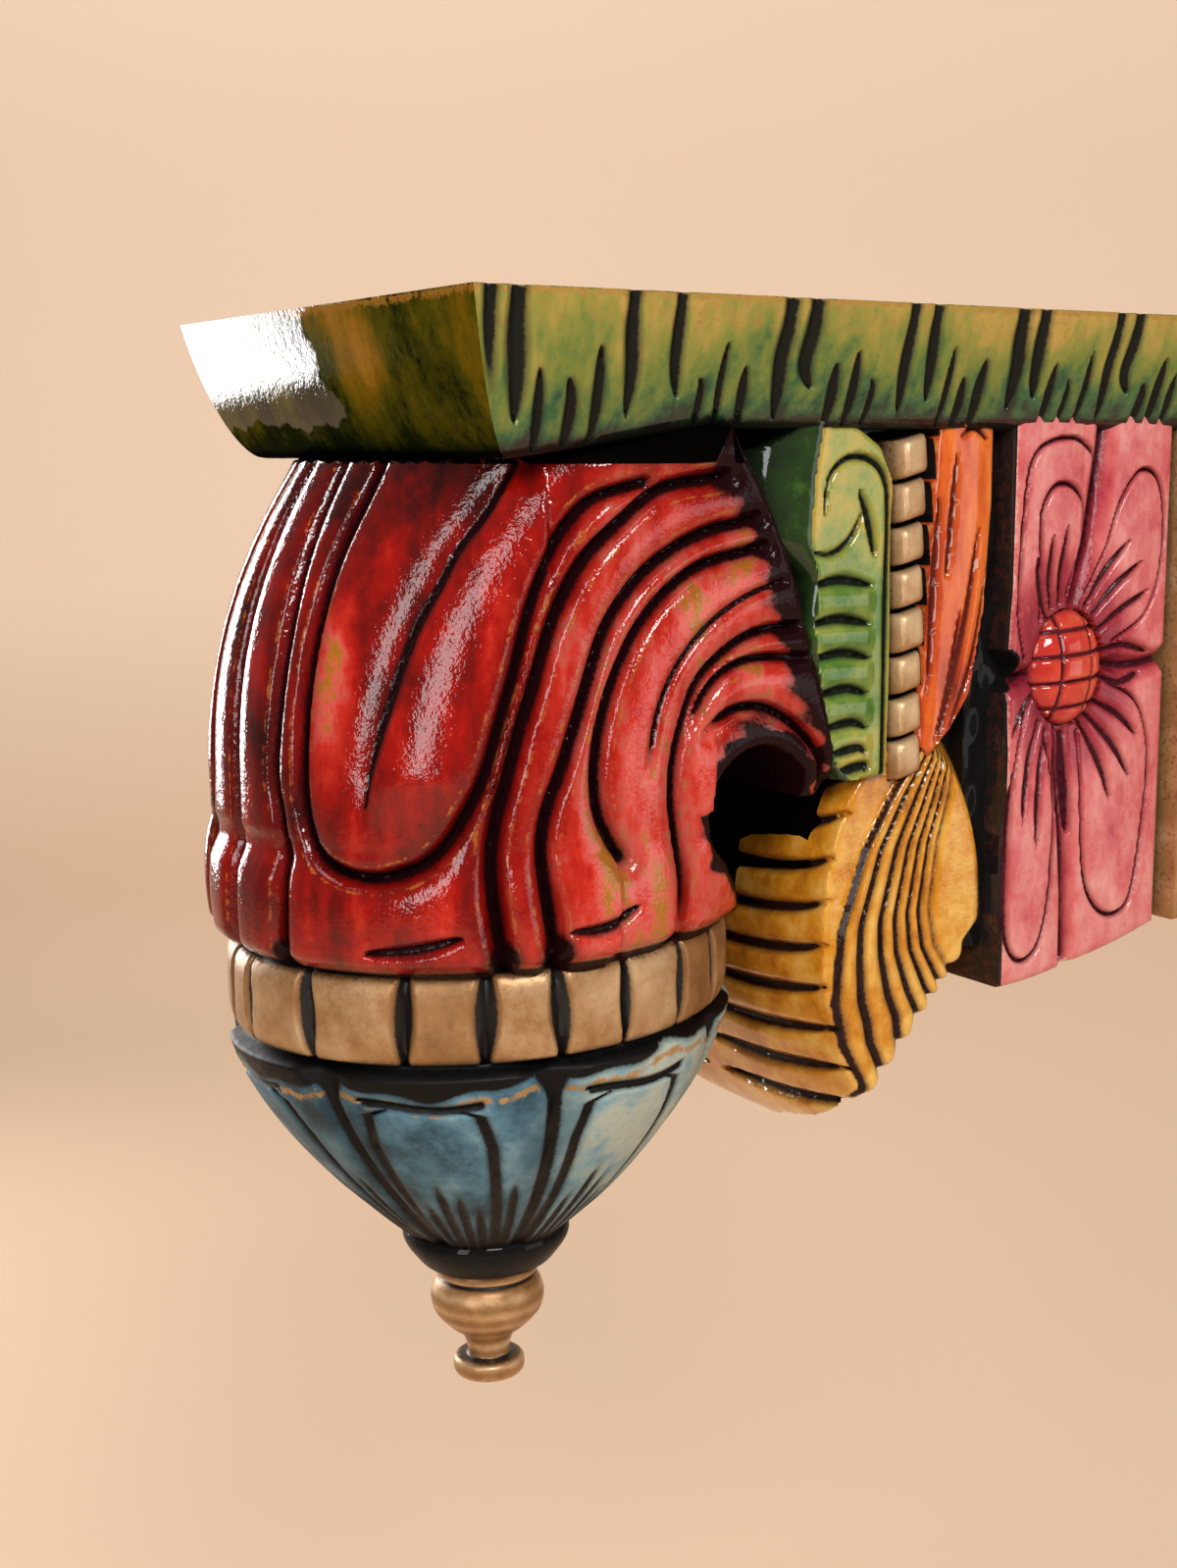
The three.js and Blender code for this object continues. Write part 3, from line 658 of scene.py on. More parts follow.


# Red gloss enamel over ochre ground: deep red as painted shade in the folds, orange where it thins, pink at
# the top of its range as painted sheen on the rolls
RED_LACQUER = Paint(
    "red_lacquer_over_ochre",
    ((0.0, "#300406"), (0.28, "#700703"), (0.5, "#9c0c04"), (0.72, "#c22a1a"), (0.9, "#d0554a"),
     (1.0, "#ad6a1e")),
    "#1c0407", "#c46a24", patch=8, drift=0.55, rubbed=0.55, bump=1.0, brush=2.8, shine=0.04,
    drawn=(1.0, 1.0, 0.35),
)
# Green enamel scumbled with yellow ochre: yellow along the top, green below, black at the foot as painted
# shadow
SHELF_GREEN = Paint(
    "green_enamel_scumbled",
    ((0.0, "#070b08"), (0.14, "#123019"), (0.32, "#2b6034"), (0.56, "#6b7c2f"), (0.82, "#938c3a"),
     (1.0, "#b59445")),
    "#0b0e08", "#a8843a", patch=7, drift=0.62, rubbed=0.5, bump=0.3, drawn=(1.0, 1.0, 0.4),
)
# The same green enamel on the front, darkened to olive as painted shade, with ochre smears
SHADED_FRONT_GREEN = Paint(
    "olive_enamel_varnished",
    ((0.0, "#080a03"), (0.25, "#1c2206"), (0.5, "#4f4a0c"), (0.75, "#7f5f10"), (1.0, "#b07a26")),
    "#080906", "#9a6d2a", patch=14, drift=0.55, rubbed=0.35, bump=0.3, drawn=(1.0, 1.0, 0.5), shine=0.0,
)
# Leaf green enamel, brushed over with yellow; darker on the flank as painted shade
LEAF_GREEN = Paint(
    "leaf_green_enamel",
    ((0.0, "#0a1405"), (0.28, "#1e380b"), (0.55, "#4c7226"), (0.8, "#8b9440"), (1.0, "#bba042")),
    "#0c150a", "#b89c36", patch=9, drift=0.3,
)
# Gold powder paint: a soft metallic sheen with the grain of the brush
GOLD_PAINT = Paint(
    "gold_powder_paint", ((0.0, "#6e4a28"), (0.5, "#a97c4e"), (1.0, "#d6b489")),
    "#0e0a08", "#7d5230", coat=Coat.BARE, rough=(0.32, 0.5), shine=0.5, patch=9, drift=0.5, rubbed=0.3,
    metal=0.4, brush=1.1, bump=0.3,
)
# Orange enamel: red-brown in the cuts
ORANGE_ENAMEL = Paint(
    "orange_enamel", ((0.0, "#6d1c0c"), (0.35, "#bd4414"), (0.65, "#dd6c24"), (1.0, "#e69447")),
    "#5a160a", "#dc8a49", patch=6, drift=0.6, drawn=(1.0, 1.0, 0.25),
)
# Pink enamel: chalky over crimson, crimson in the cuts
PINK_ENAMEL = Paint(
    "pink_enamel_over_crimson", ((0.0, "#6d0f20"), (0.35, "#a8303f"), (0.65, "#c9605f"), (1.0, "#dc938a")),
    "#3d0613", "#df9d90", coat=Coat.VARNISH, patch=7, drift=0.5, rubbed=0.55, bump=0.6,
    drawn=(1.0, 1.0, 0.5),
)
# Orange-red enamel of the flower's button: wet-looking, crimson in the cuts
BUTTON_RED = Paint(
    "button_red_enamel", ((0.0, "#85131a"), (0.5, "#bd2c22"), (1.0, "#d9583a")),
    "#4d0a18", "#dd6a48", patch=7, drift=0.5,
)
# Mustard enamel: thin and glossy, brown in the cuts
MUSTARD_ENAMEL = Paint(
    "mustard_enamel", ((0.0, "#52260a"), (0.28, "#a05c0e"), (0.6, "#cc8416"), (1.0, "#e3b052")),
    "#220c07", "#d8a355", patch=9, drift=0.75, bump=0.6, brush=2.8,
)
# Blue-grey chalk paint: flat, with tan showing through; its dark end is painted shade on the bud's far side
BUD_BLUE = Paint(
    "blue_chalk_paint",
    ((0.0, "#0e1a20"), (0.28, "#2f5160"), (0.55, "#557f92"), (0.8, "#86a9b2"), (1.0, "#b3bfb2")),
    "#030304", "#b58a52", coat=Coat.BARE, rough=(0.4, 0.62), shine=0.22, patch=11, drift=0.55, rubbed=0.6,
    bump=0.2,
)
# Dull black deep in the hollows, where no light comes back; on the scroll's roof it is painted shade
HOLLOW_BLACK = Paint(
    "dull_black_wash", ((0.0, "#050404"), (1.0, "#0b0807")),
    "#040303", "#0b0807", coat=Coat.BARE, rough=(0.8, 0.95), shine=0.0,
)
# Black gloss enamel in the gaps: dark brown where it thins
BLACK_GLOSS = Paint(
    "black_gloss_enamel", ((0.0, "#070606"), (1.0, "#181210")),
    "#050404", "#3a1710", patch=12, drift=0.8, rubbed=0.1,
)


# The shelf


@dataclass
class Shelf:
    """Moulded shelf: a board whose edge leans in and rounds under, with gouge strokes along the sides."""

    half_width: float = 75.0
    depth_front: float = 33.0
    depth_side: float = 26.0
    ease: float = 70.0
    lean: float = 0.22
    round_in: float = 8.0
    end_start: float = 198.0
    end_out: float = 7.0
    end_return: float = 0.45
    side_steps: int = 360
    front_steps: int = 260
    return_steps: int = 10
    end_steps: int = 80
    steps_down: int = 60
    bold: tuple[float, ...] = (4, 10, 36, 47, 74, 80.5, 106.6, 113, 137.6, 144, 167, 173)
    short: tuple[float, ...] = (
        17, 24, 30, 55, 60, 66, 89, 94, 99, 120, 125, 130, 151, 156, 161, 180, 185, 190)
    stroke_depth: float = 1.7
    stroke_run: float = 28.0

    def depth(self, y: Array) -> Array:
        """Depth of the moulding at a place along the side."""
        return self.depth_front + (self.depth_side - self.depth_front) * smooth(0, self.ease, y)

    def inset(self, share: Array) -> Array:
        """How far the edge lies in, by the share of the moulding's depth."""
        rounded = self.round_in * (1 - np.sqrt(np.clip(1 - share**2, 0, 1)))
        return self.lean * self.depth_front * share + rounded

    def strokes(self, y: Array, share: Array) -> Array:
        """Gouge strokes on the side: bold pairs from the top, short ones between them from the foot.

        Args:
            y: place along the side.
            share: share of the moulding's depth.

        Returns:
            1 on a stroke's bottom, falling to 0 at its edges.
        """
        cuts = []
        for index, at in enumerate(self.bold):
            foot = 24.5 - 4.0 * (index % 2) + 1.5 * math.sin(index * 2.1)
            path = [(at, -3), (at + 0.4, 6), (at + 1.2 + math.sin(index), 14), (at + 3.6, foot)]
            cuts.append((path, 2.9 + 0.6 * math.sin(index * 1.7), (1.0, 0.1)))
        for index, at in enumerate(self.short):
            top = 13.0 + 4.0 * math.sin(index * 2.6)
            path = [(at, top), (at + 1.2 + 0.5 * math.sin(index), 19), (at + 3.0, 27.5)]
            cuts.append((path, 1.9 + 0.5 * math.sin(index * 1.3), FINE))
        return gouged(y, share * self.stroke_run, cuts)

    def profile(self) -> tuple[Array, Array]:
        """Shares of the moulding's depth from the top down, and how far in the edge lies there."""
        share = np.linspace(0, 1, self.steps_down)[None, :]
        return share, self.inset(share)

    def side(self) -> Carving:
        """Right side of the moulding, from the front corner to the end break.

        Returns:
            The strip.
        """
        along = np.linspace(0, 1, self.side_steps)[:, None]
        share, inset = self.profile()
        stop = self.end_start + self.end_return * inset
        y = inset + (stop - inset) * along
        cut = self.strokes(y, share) * smooth(0, 2.5, y - inset) * smooth(0, 2.5, stop - y)
        x = self.half_width - inset - self.stroke_depth * cut
        # Yellow along the top and green below; darker and black at the foot as painted shadow, a little
        # darker towards the front corner
        tone = np.clip(0.93 - 0.75 * share**1.1 - 0.25 * smooth(0.86, 1.0, share), 0, 1)
        tone = tone * (0.75 + 0.25 * smooth(-4, 10, y))
        groove = np.maximum(np.clip(cut * 1.2, 0, 1), smooth(0.86, 1.02, share))
        edge = smooth(0.06, 0.0, share) + 0.8 * smooth(0.55, 0.2, share)
        return self.strip(x, y, -self.depth(y) * share, groove, edge, tone)

    def front(self) -> Carving:
        """Front of the moulding, mitred at both corners; its clear coat is left on the upper left.

        Returns:
            The strip.
        """
        across = np.linspace(-1, 1, self.front_steps)[:, None]
        share, inset = self.profile()
        x = (self.half_width - inset) * across
        smear = np.exp(-(((x - 12 - 14 * share) / 15) ** 2)) * smooth(0.8, 0.35, share)
        # Darker lower down and black at the foot as painted shadow, lighter at the right end; the smear is
        # ochre
        tone = 0.5 - 0.2 * share - 0.15 * smooth(0.75, 1, share) + 0.4 * smear + 0.15 * smooth(45, 72, x)
        groove = smooth(0.88, 1.0, share)
        edge = smooth(0.1, 0.0, share) + 0.6 * smooth(0.8, 0.3, share)
        front = self.strip(x, inset, -self.depth(inset) * share, groove, edge, np.clip(tone, 0, 1))
        ragged = 0.02 * np.sin(x * 0.37) + 0.025 * np.sin(x * 0.13 + 1) + 0.012 * np.sin(x * 0.83 + 2)
        side = smooth(4, -5, x + 3 * np.sin(share * 7) + 2 * np.sin(share * 17))
        front.gloss = (0.9 * (side * smooth(0.8, 0.72, share + ragged))).reshape(-1)
        # The front takes the olive copy of the green enamel, its painted shade
        front.zone += 1
        return front

    def end(self) -> Carving:
        """Right side and returned front of the moulding where it breaks out over the end block.

        Returns:
            The strip.
        """
        out = np.concatenate([np.linspace(0, 1, self.return_steps), np.ones(self.end_steps)])[:, None]
        run = np.linspace(0, 1, self.end_steps + 1)[1:]
        back = np.concatenate([np.zeros(self.return_steps), run])[:, None]
        share, inset = self.profile()
        start = self.end_start + self.end_return * inset
        x = self.half_width - inset + self.end_out * out
        y = start + (REACH - start) * back
        edge = smooth(0.06, 0.0, share) + 0.7 * smooth(0.55, 0.2, share)
        # Darker lower down; black at the foot as painted shadow
        tone = np.clip(0.9 - 0.72 * share, 0, 1)
        return self.strip(x, y, -self.depth_side * share, smooth(0.9, 0.99, share), edge, tone)

    @staticmethod
    def strip(*grids: Array) -> Carving:
        """Makes a strip of the moulding.

        Args:
            grids: x, y, z, groove, edge and tone, each spread over the same grid.

        Returns:
            The strip.
        """
        spread = np.broadcast_arrays(*grids)
        number = np.arange(spread[0].size).reshape(spread[0].shape)
        faces = grid_faces(number[:-1], number[1:])
        points = np.stack(spread[:3], -1).reshape(-1, 3)
        return Carving(points, [faces], *[guide.reshape(-1) for guide in spread[3:]], np.zeros(len(faces)))

    @staticmethod
    def lid(loop: Array, centre: Place, share: float) -> Carving:
        """Closes a loop of places by a flat face inside a narrow rim.

        Args:
            loop: the places, turning left as seen from outside.
            centre: middle of the face.
            share: size of the face inside the rim.

        Returns:
            The rim and the face.
        """
        count = len(loop)
        inner = np.array(centre) + (loop - centre) * share
        first = np.arange(count)
        after = np.roll(first, -1)
        rim = np.stack([first, after, after + count, first + count], 1)
        faces = [rim, first[None, :] + count]
        plain = np.zeros(2 * count)
        return Carving(np.vstack([loop, inner]), faces, plain, plain, plain + 0.45, np.zeros(count + 1))

    def underside(self, flank: Array, ahead: Array) -> Carving:
        """Black underside, from edge to edge of the moulding.

        Args:
            flank: lowest places of the right side, from the front to the wall.
            ahead: lowest places of the front, from left to right.

        Returns:
            The underside.
        """
        count, lead = len(flank), len(ahead)
        points = np.vstack([flank, flank * [-1, 1, 1], ahead])
        turn = count - self.end_steps - self.return_steps
        rows = np.array([*range(1, turn), *range(turn + self.return_steps - 1, count - 1)])
        quads = np.stack([rows + count, rows + 1 + count, rows + 1, rows], 1)
        nose = np.array([[1, *range(2 * count + lead - 1, 2 * count - 1, -1), count + 1]])
        bend = np.arange(turn, turn + self.return_steps)
        shoulder = np.concatenate([bend[::-1], bend + count])[None, :]
        dark = np.ones(len(points))
        return Carving(points, [quads, nose, shoulder], dark, 0 * dark, 0 * dark, np.zeros(len(quads) + 2))

    def build(self) -> bpy.types.Object:
        """Builds and dresses the shelf.

        Returns:
            The shelf.
        """
        side, end, front = self.side(), self.end(), self.front()
        grids = [strip.points.reshape(-1, self.steps_down, 3) for strip in (side, end, front)]
        flank, ahead = np.vstack([grids[0][:-1], grids[1]]), grids[2]
        top = np.vstack([ahead[:, 0], flank[1:, 0], flank[:0:-1, 0] * [-1, 1, 1]])
        wall = np.vstack([flank[-1], flank[-1, ::-1] * [-1, 1, 1]])
        right = side.joined(end)
        whole = right.joined(right.mirrored()).joined(front)
        whole = whole.joined(self.underside(flank[:, -1], ahead[:, -1]))
        whole = whole.joined(self.lid(top, (0, REACH / 2, 0), 0.97))
        whole = whole.joined(self.lid(wall, (0, REACH, -12), 0.9))
        return whole.piece("moulded_shelf", [SHELF_GREEN.material(), SHADED_FRONT_GREEN.material()], weld=True)


# The scroll


@dataclass
class Scroll:
    """Red scroll under the shelf: ribs in front, a folded petal on each corner, rolls round the eye."""

    axis_y: float = 40.0
    half_width: float = 60.0
    bulge: float = 57.0
    top_reach: float = 33.5
    top_z: float = -28.0
    bulge_z: float = -98.0
    square: Path = ((-138, 2.0), (-98, 2.2), (-62, 1.83), (-34, 1.5))
    stem_radius: float = 58.5
    bottom: float = -138.5
    eye_y: float = 77.5
    eye_z: float = -107.0
    eye_radius: float = 13.4
    cell: float = 0.8
    most_triangles: int = 180000
    unroll: float = 58.0
    groove_depth: float = 3.0
    pillow: float = 2.9
    lines: tuple[tuple[float, Path], ...] = (
        (2.1, ((0, -28), (0, -60), (0, -100), (0, -141))),
        (2.1, ((18, -26), (16.5, -48), (17, -68), (16.8, -84), (16.3, -98), (18, -107), (19, -120),
               (18, -139))),
        (2.0, ((36, -26), (32, -39), (28, -50), (26, -63), (25, -78), (25, -94), (25.5, -104), (28, -112),
               (33, -116), (41, -117.5), (49, -115.5), (55, -111.5), (60, -104), (64, -95), (66.5, -86),
               (69.5, -76), (72, -66), (74.5, -58), (78, -50.5), (82.5, -44), (88, -39.5), (98, -37))),
        (2.3, ((118, -36), (103, -38), (94, -43.5), (86, -50.5), (81, -58), (77, -67), (74, -77), (71, -86),
               (68.5, -95.5), (66, -105), (65, -113), (65.5, -122), (68, -139))),
        (2.3, ((126, -45), (113, -47.5), (102, -52.5), (94, -59), (88.5, -67), (85, -77), (82, -86.5),
               (79, -95.5), (76, -103.5), (75, -111), (75.5, -118), (78.5, -138))),
        (2.1, ((128, -51), (113, -54), (103.5, -59.5), (96.5, -66.5), (92, -74), (89, -81.5), (87, -89.5),
               (86.3, -97), (87, -104), (89.5, -110), (92.5, -114.5))),
        (1.0, ((133, -58), (123, -61), (114, -66), (107.5, -72), (103, -78.5), (100, -86), (98, -97))),
        (1.7, ((137, -68), (126, -69), (117, -73.5), (111, -79), (108, -85.5), (105.5, -94), (105, -103),
               (107, -113), (109, -122), (110, -136))),
        (1.5, ((140, -75), (126, -74.5), (118, -77), (113, -81.5), (109.5, -88))),
        (1.7, ((147, -104), (143.5, -96), (136.5, -89), (128, -85), (120, -85.5), (113.5, -89.5))),
    )
    fold_line: Path = (
        (72, -33), (65.5, -43), (59.5, -50), (55, -58), (51, -65), (48, -73), (46, -80), (44, -87),
        (42.2, -95), (41, -102))
    nicks: tuple[Path, ...] = (
        ((40, -133), (51, -131.3), (60, -128.5)), ((80, -128.5), (88, -128), (96, -124.5)))
    nick_width: float = 2.2
    nick_depth: float = 2.4
    pits: Path = ((67.5, -135), (78, -134), (18, -138))
    pillow_reach: float = 7.5
    roll_width: float = 12.0
    roll_rise: float = 2.2
    hollow_reach: float = 4.5
    hollow_depth: float = 2.4
    lip_top: float = -112.0
    lip_height: float = 31.0
    lip_rise: float = 1.9
    waist_z: float = -114.5
    waist_reach: float = 5.0
    waist_depth: float = 1.5
    foot_cut: float = 6.0
    rim_round: float = 2.6
    foot_u: tuple[float, ...] = (0, 20, 45, 75, 110)
    foot_z: tuple[float, ...] = (-139.5, -139, -138, -136.5, -134.5)
    roof_step: float = 15.0
    roof_front: float = -32.4
    roof_back: float = -24.0

    def reach(self, z: Array) -> Array:
        """How far the scroll stands in front of its axis."""
        rise = np.clip((z - self.bulge_z) / (self.top_z - self.bulge_z), 0, 1)
        return self.bulge + (self.top_reach - self.bulge) * rise**2.2

    def radius(self, bearing: Array, z: Array) -> Array:
        """Plain surface, before it is carved.

        Args:
            bearing: bearing from the front, in degrees.
            z: height.

        Returns:
            Distance from the axis.
        """
        angle = np.radians(np.clip(bearing, 0, 90))
        power = np.interp(z, [at for at, _ in self.square], [value for _, value in self.square])
        across = np.abs(np.sin(angle)) / self.half_width
        ahead = np.abs(np.cos(angle)) / self.reach(z)
        return (across**power + ahead**power) ** (-1 / power)

    def carve(self, u: Array, z: Array) -> tuple[Array, Array, Array]:
        """Carving over the plain surface.

        Args:
            u: place round the scroll from its middle front, unrolled.
            z: height.

        Returns:
            Height of the carving, darkness of the cuts and of painted shade, and rubbed edges.
        """
        shape = np.broadcast(u, z).shape
        height, dark, edge = np.zeros(shape), np.zeros(shape), np.zeros(shape)
        nearest = np.full(shape, 99.0)
        # Grooves along the lines, and rounded wood between them
        for width, path in self.lines:
            away, place = line_distance(u, z, path)
            fade = 1.0 if width > 1.9 else smooth(1.02, 0.85, place)
            cut = np.clip(1 - away / width, 0, 1) * fade
            height = np.minimum(height, -self.groove_depth * cut * min(1.0, width / 1.8))
            dark = np.maximum(dark, np.clip(1.12 - away / (0.95 * width), 0, 1) * fade)
            # Painted shade spreads a little way either side of each line
            dark = np.maximum(dark, 0.36 * np.clip(1 - away / (3.2 * width), 0, 1) * fade)
            edge = np.maximum(edge, np.clip(1 - np.abs(away - width - 0.9) / 1.3, 0, 1))
            nearest = np.minimum(nearest, away + (4.0 if width < 1.3 else 0.0))
        share = 1 - np.clip(nearest / self.pillow_reach, 0, 1)
        height = height + self.pillow * np.sqrt(np.clip(1 - share * share, 0, 1))
        # Folded petal on the corner: a roll past its line, a hollow before it darkened as painted shade
        fold, place = line_distance(u, z, self.fold_line)
        inside = (u > 26) & (u < 77) & (z < -30)
        past = u - at_height([(level, at) for at, level in self.fold_line], z)
        close = smooth(-108, -94, z) * smooth(-30, -40, z) * inside
        roll = np.sqrt(np.clip(1 - ((past - self.roll_width) / self.roll_width) ** 2, 0, 1)) * (past > 0)
        hollow = np.exp(-np.clip(-past, 0, 40) / self.hollow_reach) * (past <= 0)
        height = height + close * (self.roll_rise * roll - self.hollow_depth * hollow)
        width = 0.8 + 1.5 * np.sin(np.pi * np.clip(place, 0, 1) ** 1.6)
        dark = np.maximum(dark, np.clip(1.15 - fold / width, 0, 1) * inside)
        dark = np.maximum(dark, 0.42 * hollow * close)
        # Swollen lip above the band, and a waist over it across the front ribs
        lip = np.sin(np.pi * np.clip((self.lip_top - z) / self.lip_height, 0, 1)) ** 0.8
        height = height + self.lip_rise * lip * np.clip(nearest / 4, 0, 1)
        waist = np.clip(1 - np.abs(z - self.waist_z) / self.waist_reach, 0, 1) * smooth(26, 20, u)
        height = height - self.waist_depth * waist
        # Nicks and black pits in the lip, the ragged foot and the shade under the shelf
        for path in self.nicks:
            nick = stroke(u, z, path, self.nick_width)
            height = height - self.nick_depth * nick
            dark = np.maximum(dark, nick)
        for at, level in self.pits:
            dark = np.maximum(dark, np.clip(1.5 - np.hypot(u - at, (z - level) * 0.6) / 3.2, 0, 1))
        foot = np.interp(u, self.foot_u, self.foot_z)
        height = height - self.foot_cut * smooth(4, -3, z - foot)
        dark = np.maximum(dark, smooth(2.0, -0.5, z - foot))
        dark = np.maximum(dark, smooth(-37, -29, z) * 0.8)
        return height, dark, edge

    def place_round(self, x: Array, y: Array) -> Array:
        """Unrolled place round the scroll of points on its surface.

        Args:
            x: x of each point.
            y: y of each point.

        Returns:
            Distance round the scroll from its middle front.
        """
        bearing = np.arctan2(np.abs(x), self.axis_y - y)
        behind = math.pi / 2 * self.unroll + y - self.axis_y
        return np.where(y < self.axis_y, bearing * self.unroll, behind)

    def arris(self, z: Array) -> Array:
        """The rolls' edge against the panel."""
        return 68 + 30 * np.clip((-30 - z) / 70, 0, 1) ** 0.6

    def side_limit(self, y: Array, z: Array) -> Array:
        """Outline in the side view: the arris, the eye and the stem's nose.

        Args:
            y: place from front to wall.
            z: height.

        Returns:
            A field that is negative on the scroll.
        """
        eye = self.eye_radius - np.hypot(y - self.eye_y, z - self.eye_z)
        nose = self.eye_y - self.eye_radius + 26 * np.clip((self.eye_z - z) / 30, 0, 1) ** 1.5
        outline = np.where(z > self.eye_z, y - self.arris(z), y - nose)
        return np.maximum(outline, np.where(y > self.eye_y - self.eye_radius, eye, -99))

    def build(self) -> bpy.types.Object:
        """Builds and dresses the scroll.

        Returns:
            The scroll.
        """
        block = WoodBlock((-65.6, -26.4, -141.6), (65.6, 104.0, -19.2), self.cell)
        points, quads = block.cut(self.wood(*block.axes()))
        px, py, pz = points.T
        place = self.place_round(px, py)
        _, dark, edge = self.carve(place, pz)
        # Painted shadow in a ragged band along the rolls' edge against the panel, and painted shade over the
        # ends of the rolls under the shelf
        from_rim = np.where(py > self.axis_y, -self.side_limit(py, pz), 99.0)
        from_rim = from_rim - 1.6 * np.sin(pz * 0.83) * np.sin(pz * 0.31 + py * 0.4) - 1.0
        shadow = smooth(12.0, 2.5, from_rim) * smooth(-100, -80, pz) + smooth(3.5, 0.6, from_rim)
        dark = np.maximum(np.maximum(dark, shadow), smooth(106, 122, place) * smooth(-46, -36, pz))
        # Tone: lighter on the rolls as painted sheen, darker under the shelf as painted shade, a little
        # lighter low down and darker at the front; the round patch on the petal is an ochre smear
        tone = 0.38 + 0.42 * smooth(64, 88, place) - 0.22 * smooth(-52, -32, pz)
        tone = tone + 0.08 * smooth(-105, -118, pz) - 0.1 * smooth(45, 30, place)
        tone = tone + 0.6 * smooth(10, 2, np.hypot(place - 31, (pz + 80) * 0.33))
        # The roof under the shelf takes the dull black, as painted shade
        top = self.roof_front - 0.5
        roof = (pz[quads].mean(1) > top).astype(int)
        carving = Carving(points, [quads], np.clip(dark, 0, 1), edge, tone, roof)
        scroll = carving.piece("red_scroll", [RED_LACQUER.material(), HOLLOW_BLACK.material()])
        unseen = (pz > top) | (pz < self.bottom + 0.3) | ((py > 60) & (np.abs(px) < 45))
        self.thin(scroll, np.nonzero(unseen)[0])
        return scroll

    def wood(self, x: Array, y: Array, z: Array) -> Array:
        """Works out the field of the carved scroll.

        Args:
            x: grid lines across.
            y: grid lines from front to wall.
            z: grid lines up.

        Returns:
            The field on the grid, negative inside the wood.
        """
        ahead = self.axis_y - y
        bearing = np.degrees(np.arctan2(np.abs(x), ahead))[:, :, 0]
        far = np.hypot(x, ahead)[:, :, 0]
        steps = np.linspace(0, 90, 361)
        plain = self.radius(steps[:, None], z[0])
        front = plain + self.carve(np.radians(steps)[:, None] * self.unroll, z[0])[0]
        index = np.clip(bearing / 0.25, 0, 359.999)
        low = index.astype(int)
        part = (index - low)[:, :, None]
        ahead_field = far[:, :, None] - (front[low] * (1 - part) + front[low + 1] * part)
        side_y, side_z = y[0], z[0]
        round_x = np.sqrt(np.clip(self.stem_radius**2 - (side_y - self.axis_y) ** 2, 4, None))
        side = self.half_width + (round_x - self.half_width) * smooth(-96, self.bottom, side_z)
        limit = self.side_limit(side_y, side_z)
        along = math.pi / 2 * self.unroll + side_y - self.axis_y
        side = side + self.carve(along, side_z)[0] - eased_edge(-limit, self.rim_round)
        behind_field = np.maximum(np.abs(x) - side[None], limit[None])
        values = np.where(y < self.axis_y, ahead_field, behind_field)
        roof = np.where(y < self.roof_step, self.roof_front, self.roof_back)
        return np.maximum(values, np.maximum(z - roof, self.bottom - z))

    def thin(self, scroll: bpy.types.Object, unseen: Array) -> None:
        """Takes triangles out of the faces that lie against other wood.

        Args:
            scroll: the scroll.
            unseen: numbers of the points that can't be seen.
        """
        group = scroll.vertex_groups.new(name="unseen")
        group.add(unseen.tolist(), 1.0, "REPLACE")
        thinner = scroll.modifiers.new("thinner", "DECIMATE")
        thinner.vertex_group = group.name
        thinner.ratio = min(1.0, self.most_triangles / (2 * len(scroll.data.polygons)))
        plain = bpy.data.meshes.new_from_object(scroll.evaluated_get(bpy.context.evaluated_depsgraph_get()))
        full, scroll.data = scroll.data, plain
        scroll.modifiers.clear()
        scroll.vertex_groups.clear()
        plain.name = scroll.name
        bpy.data.meshes.remove(full)


# The volute


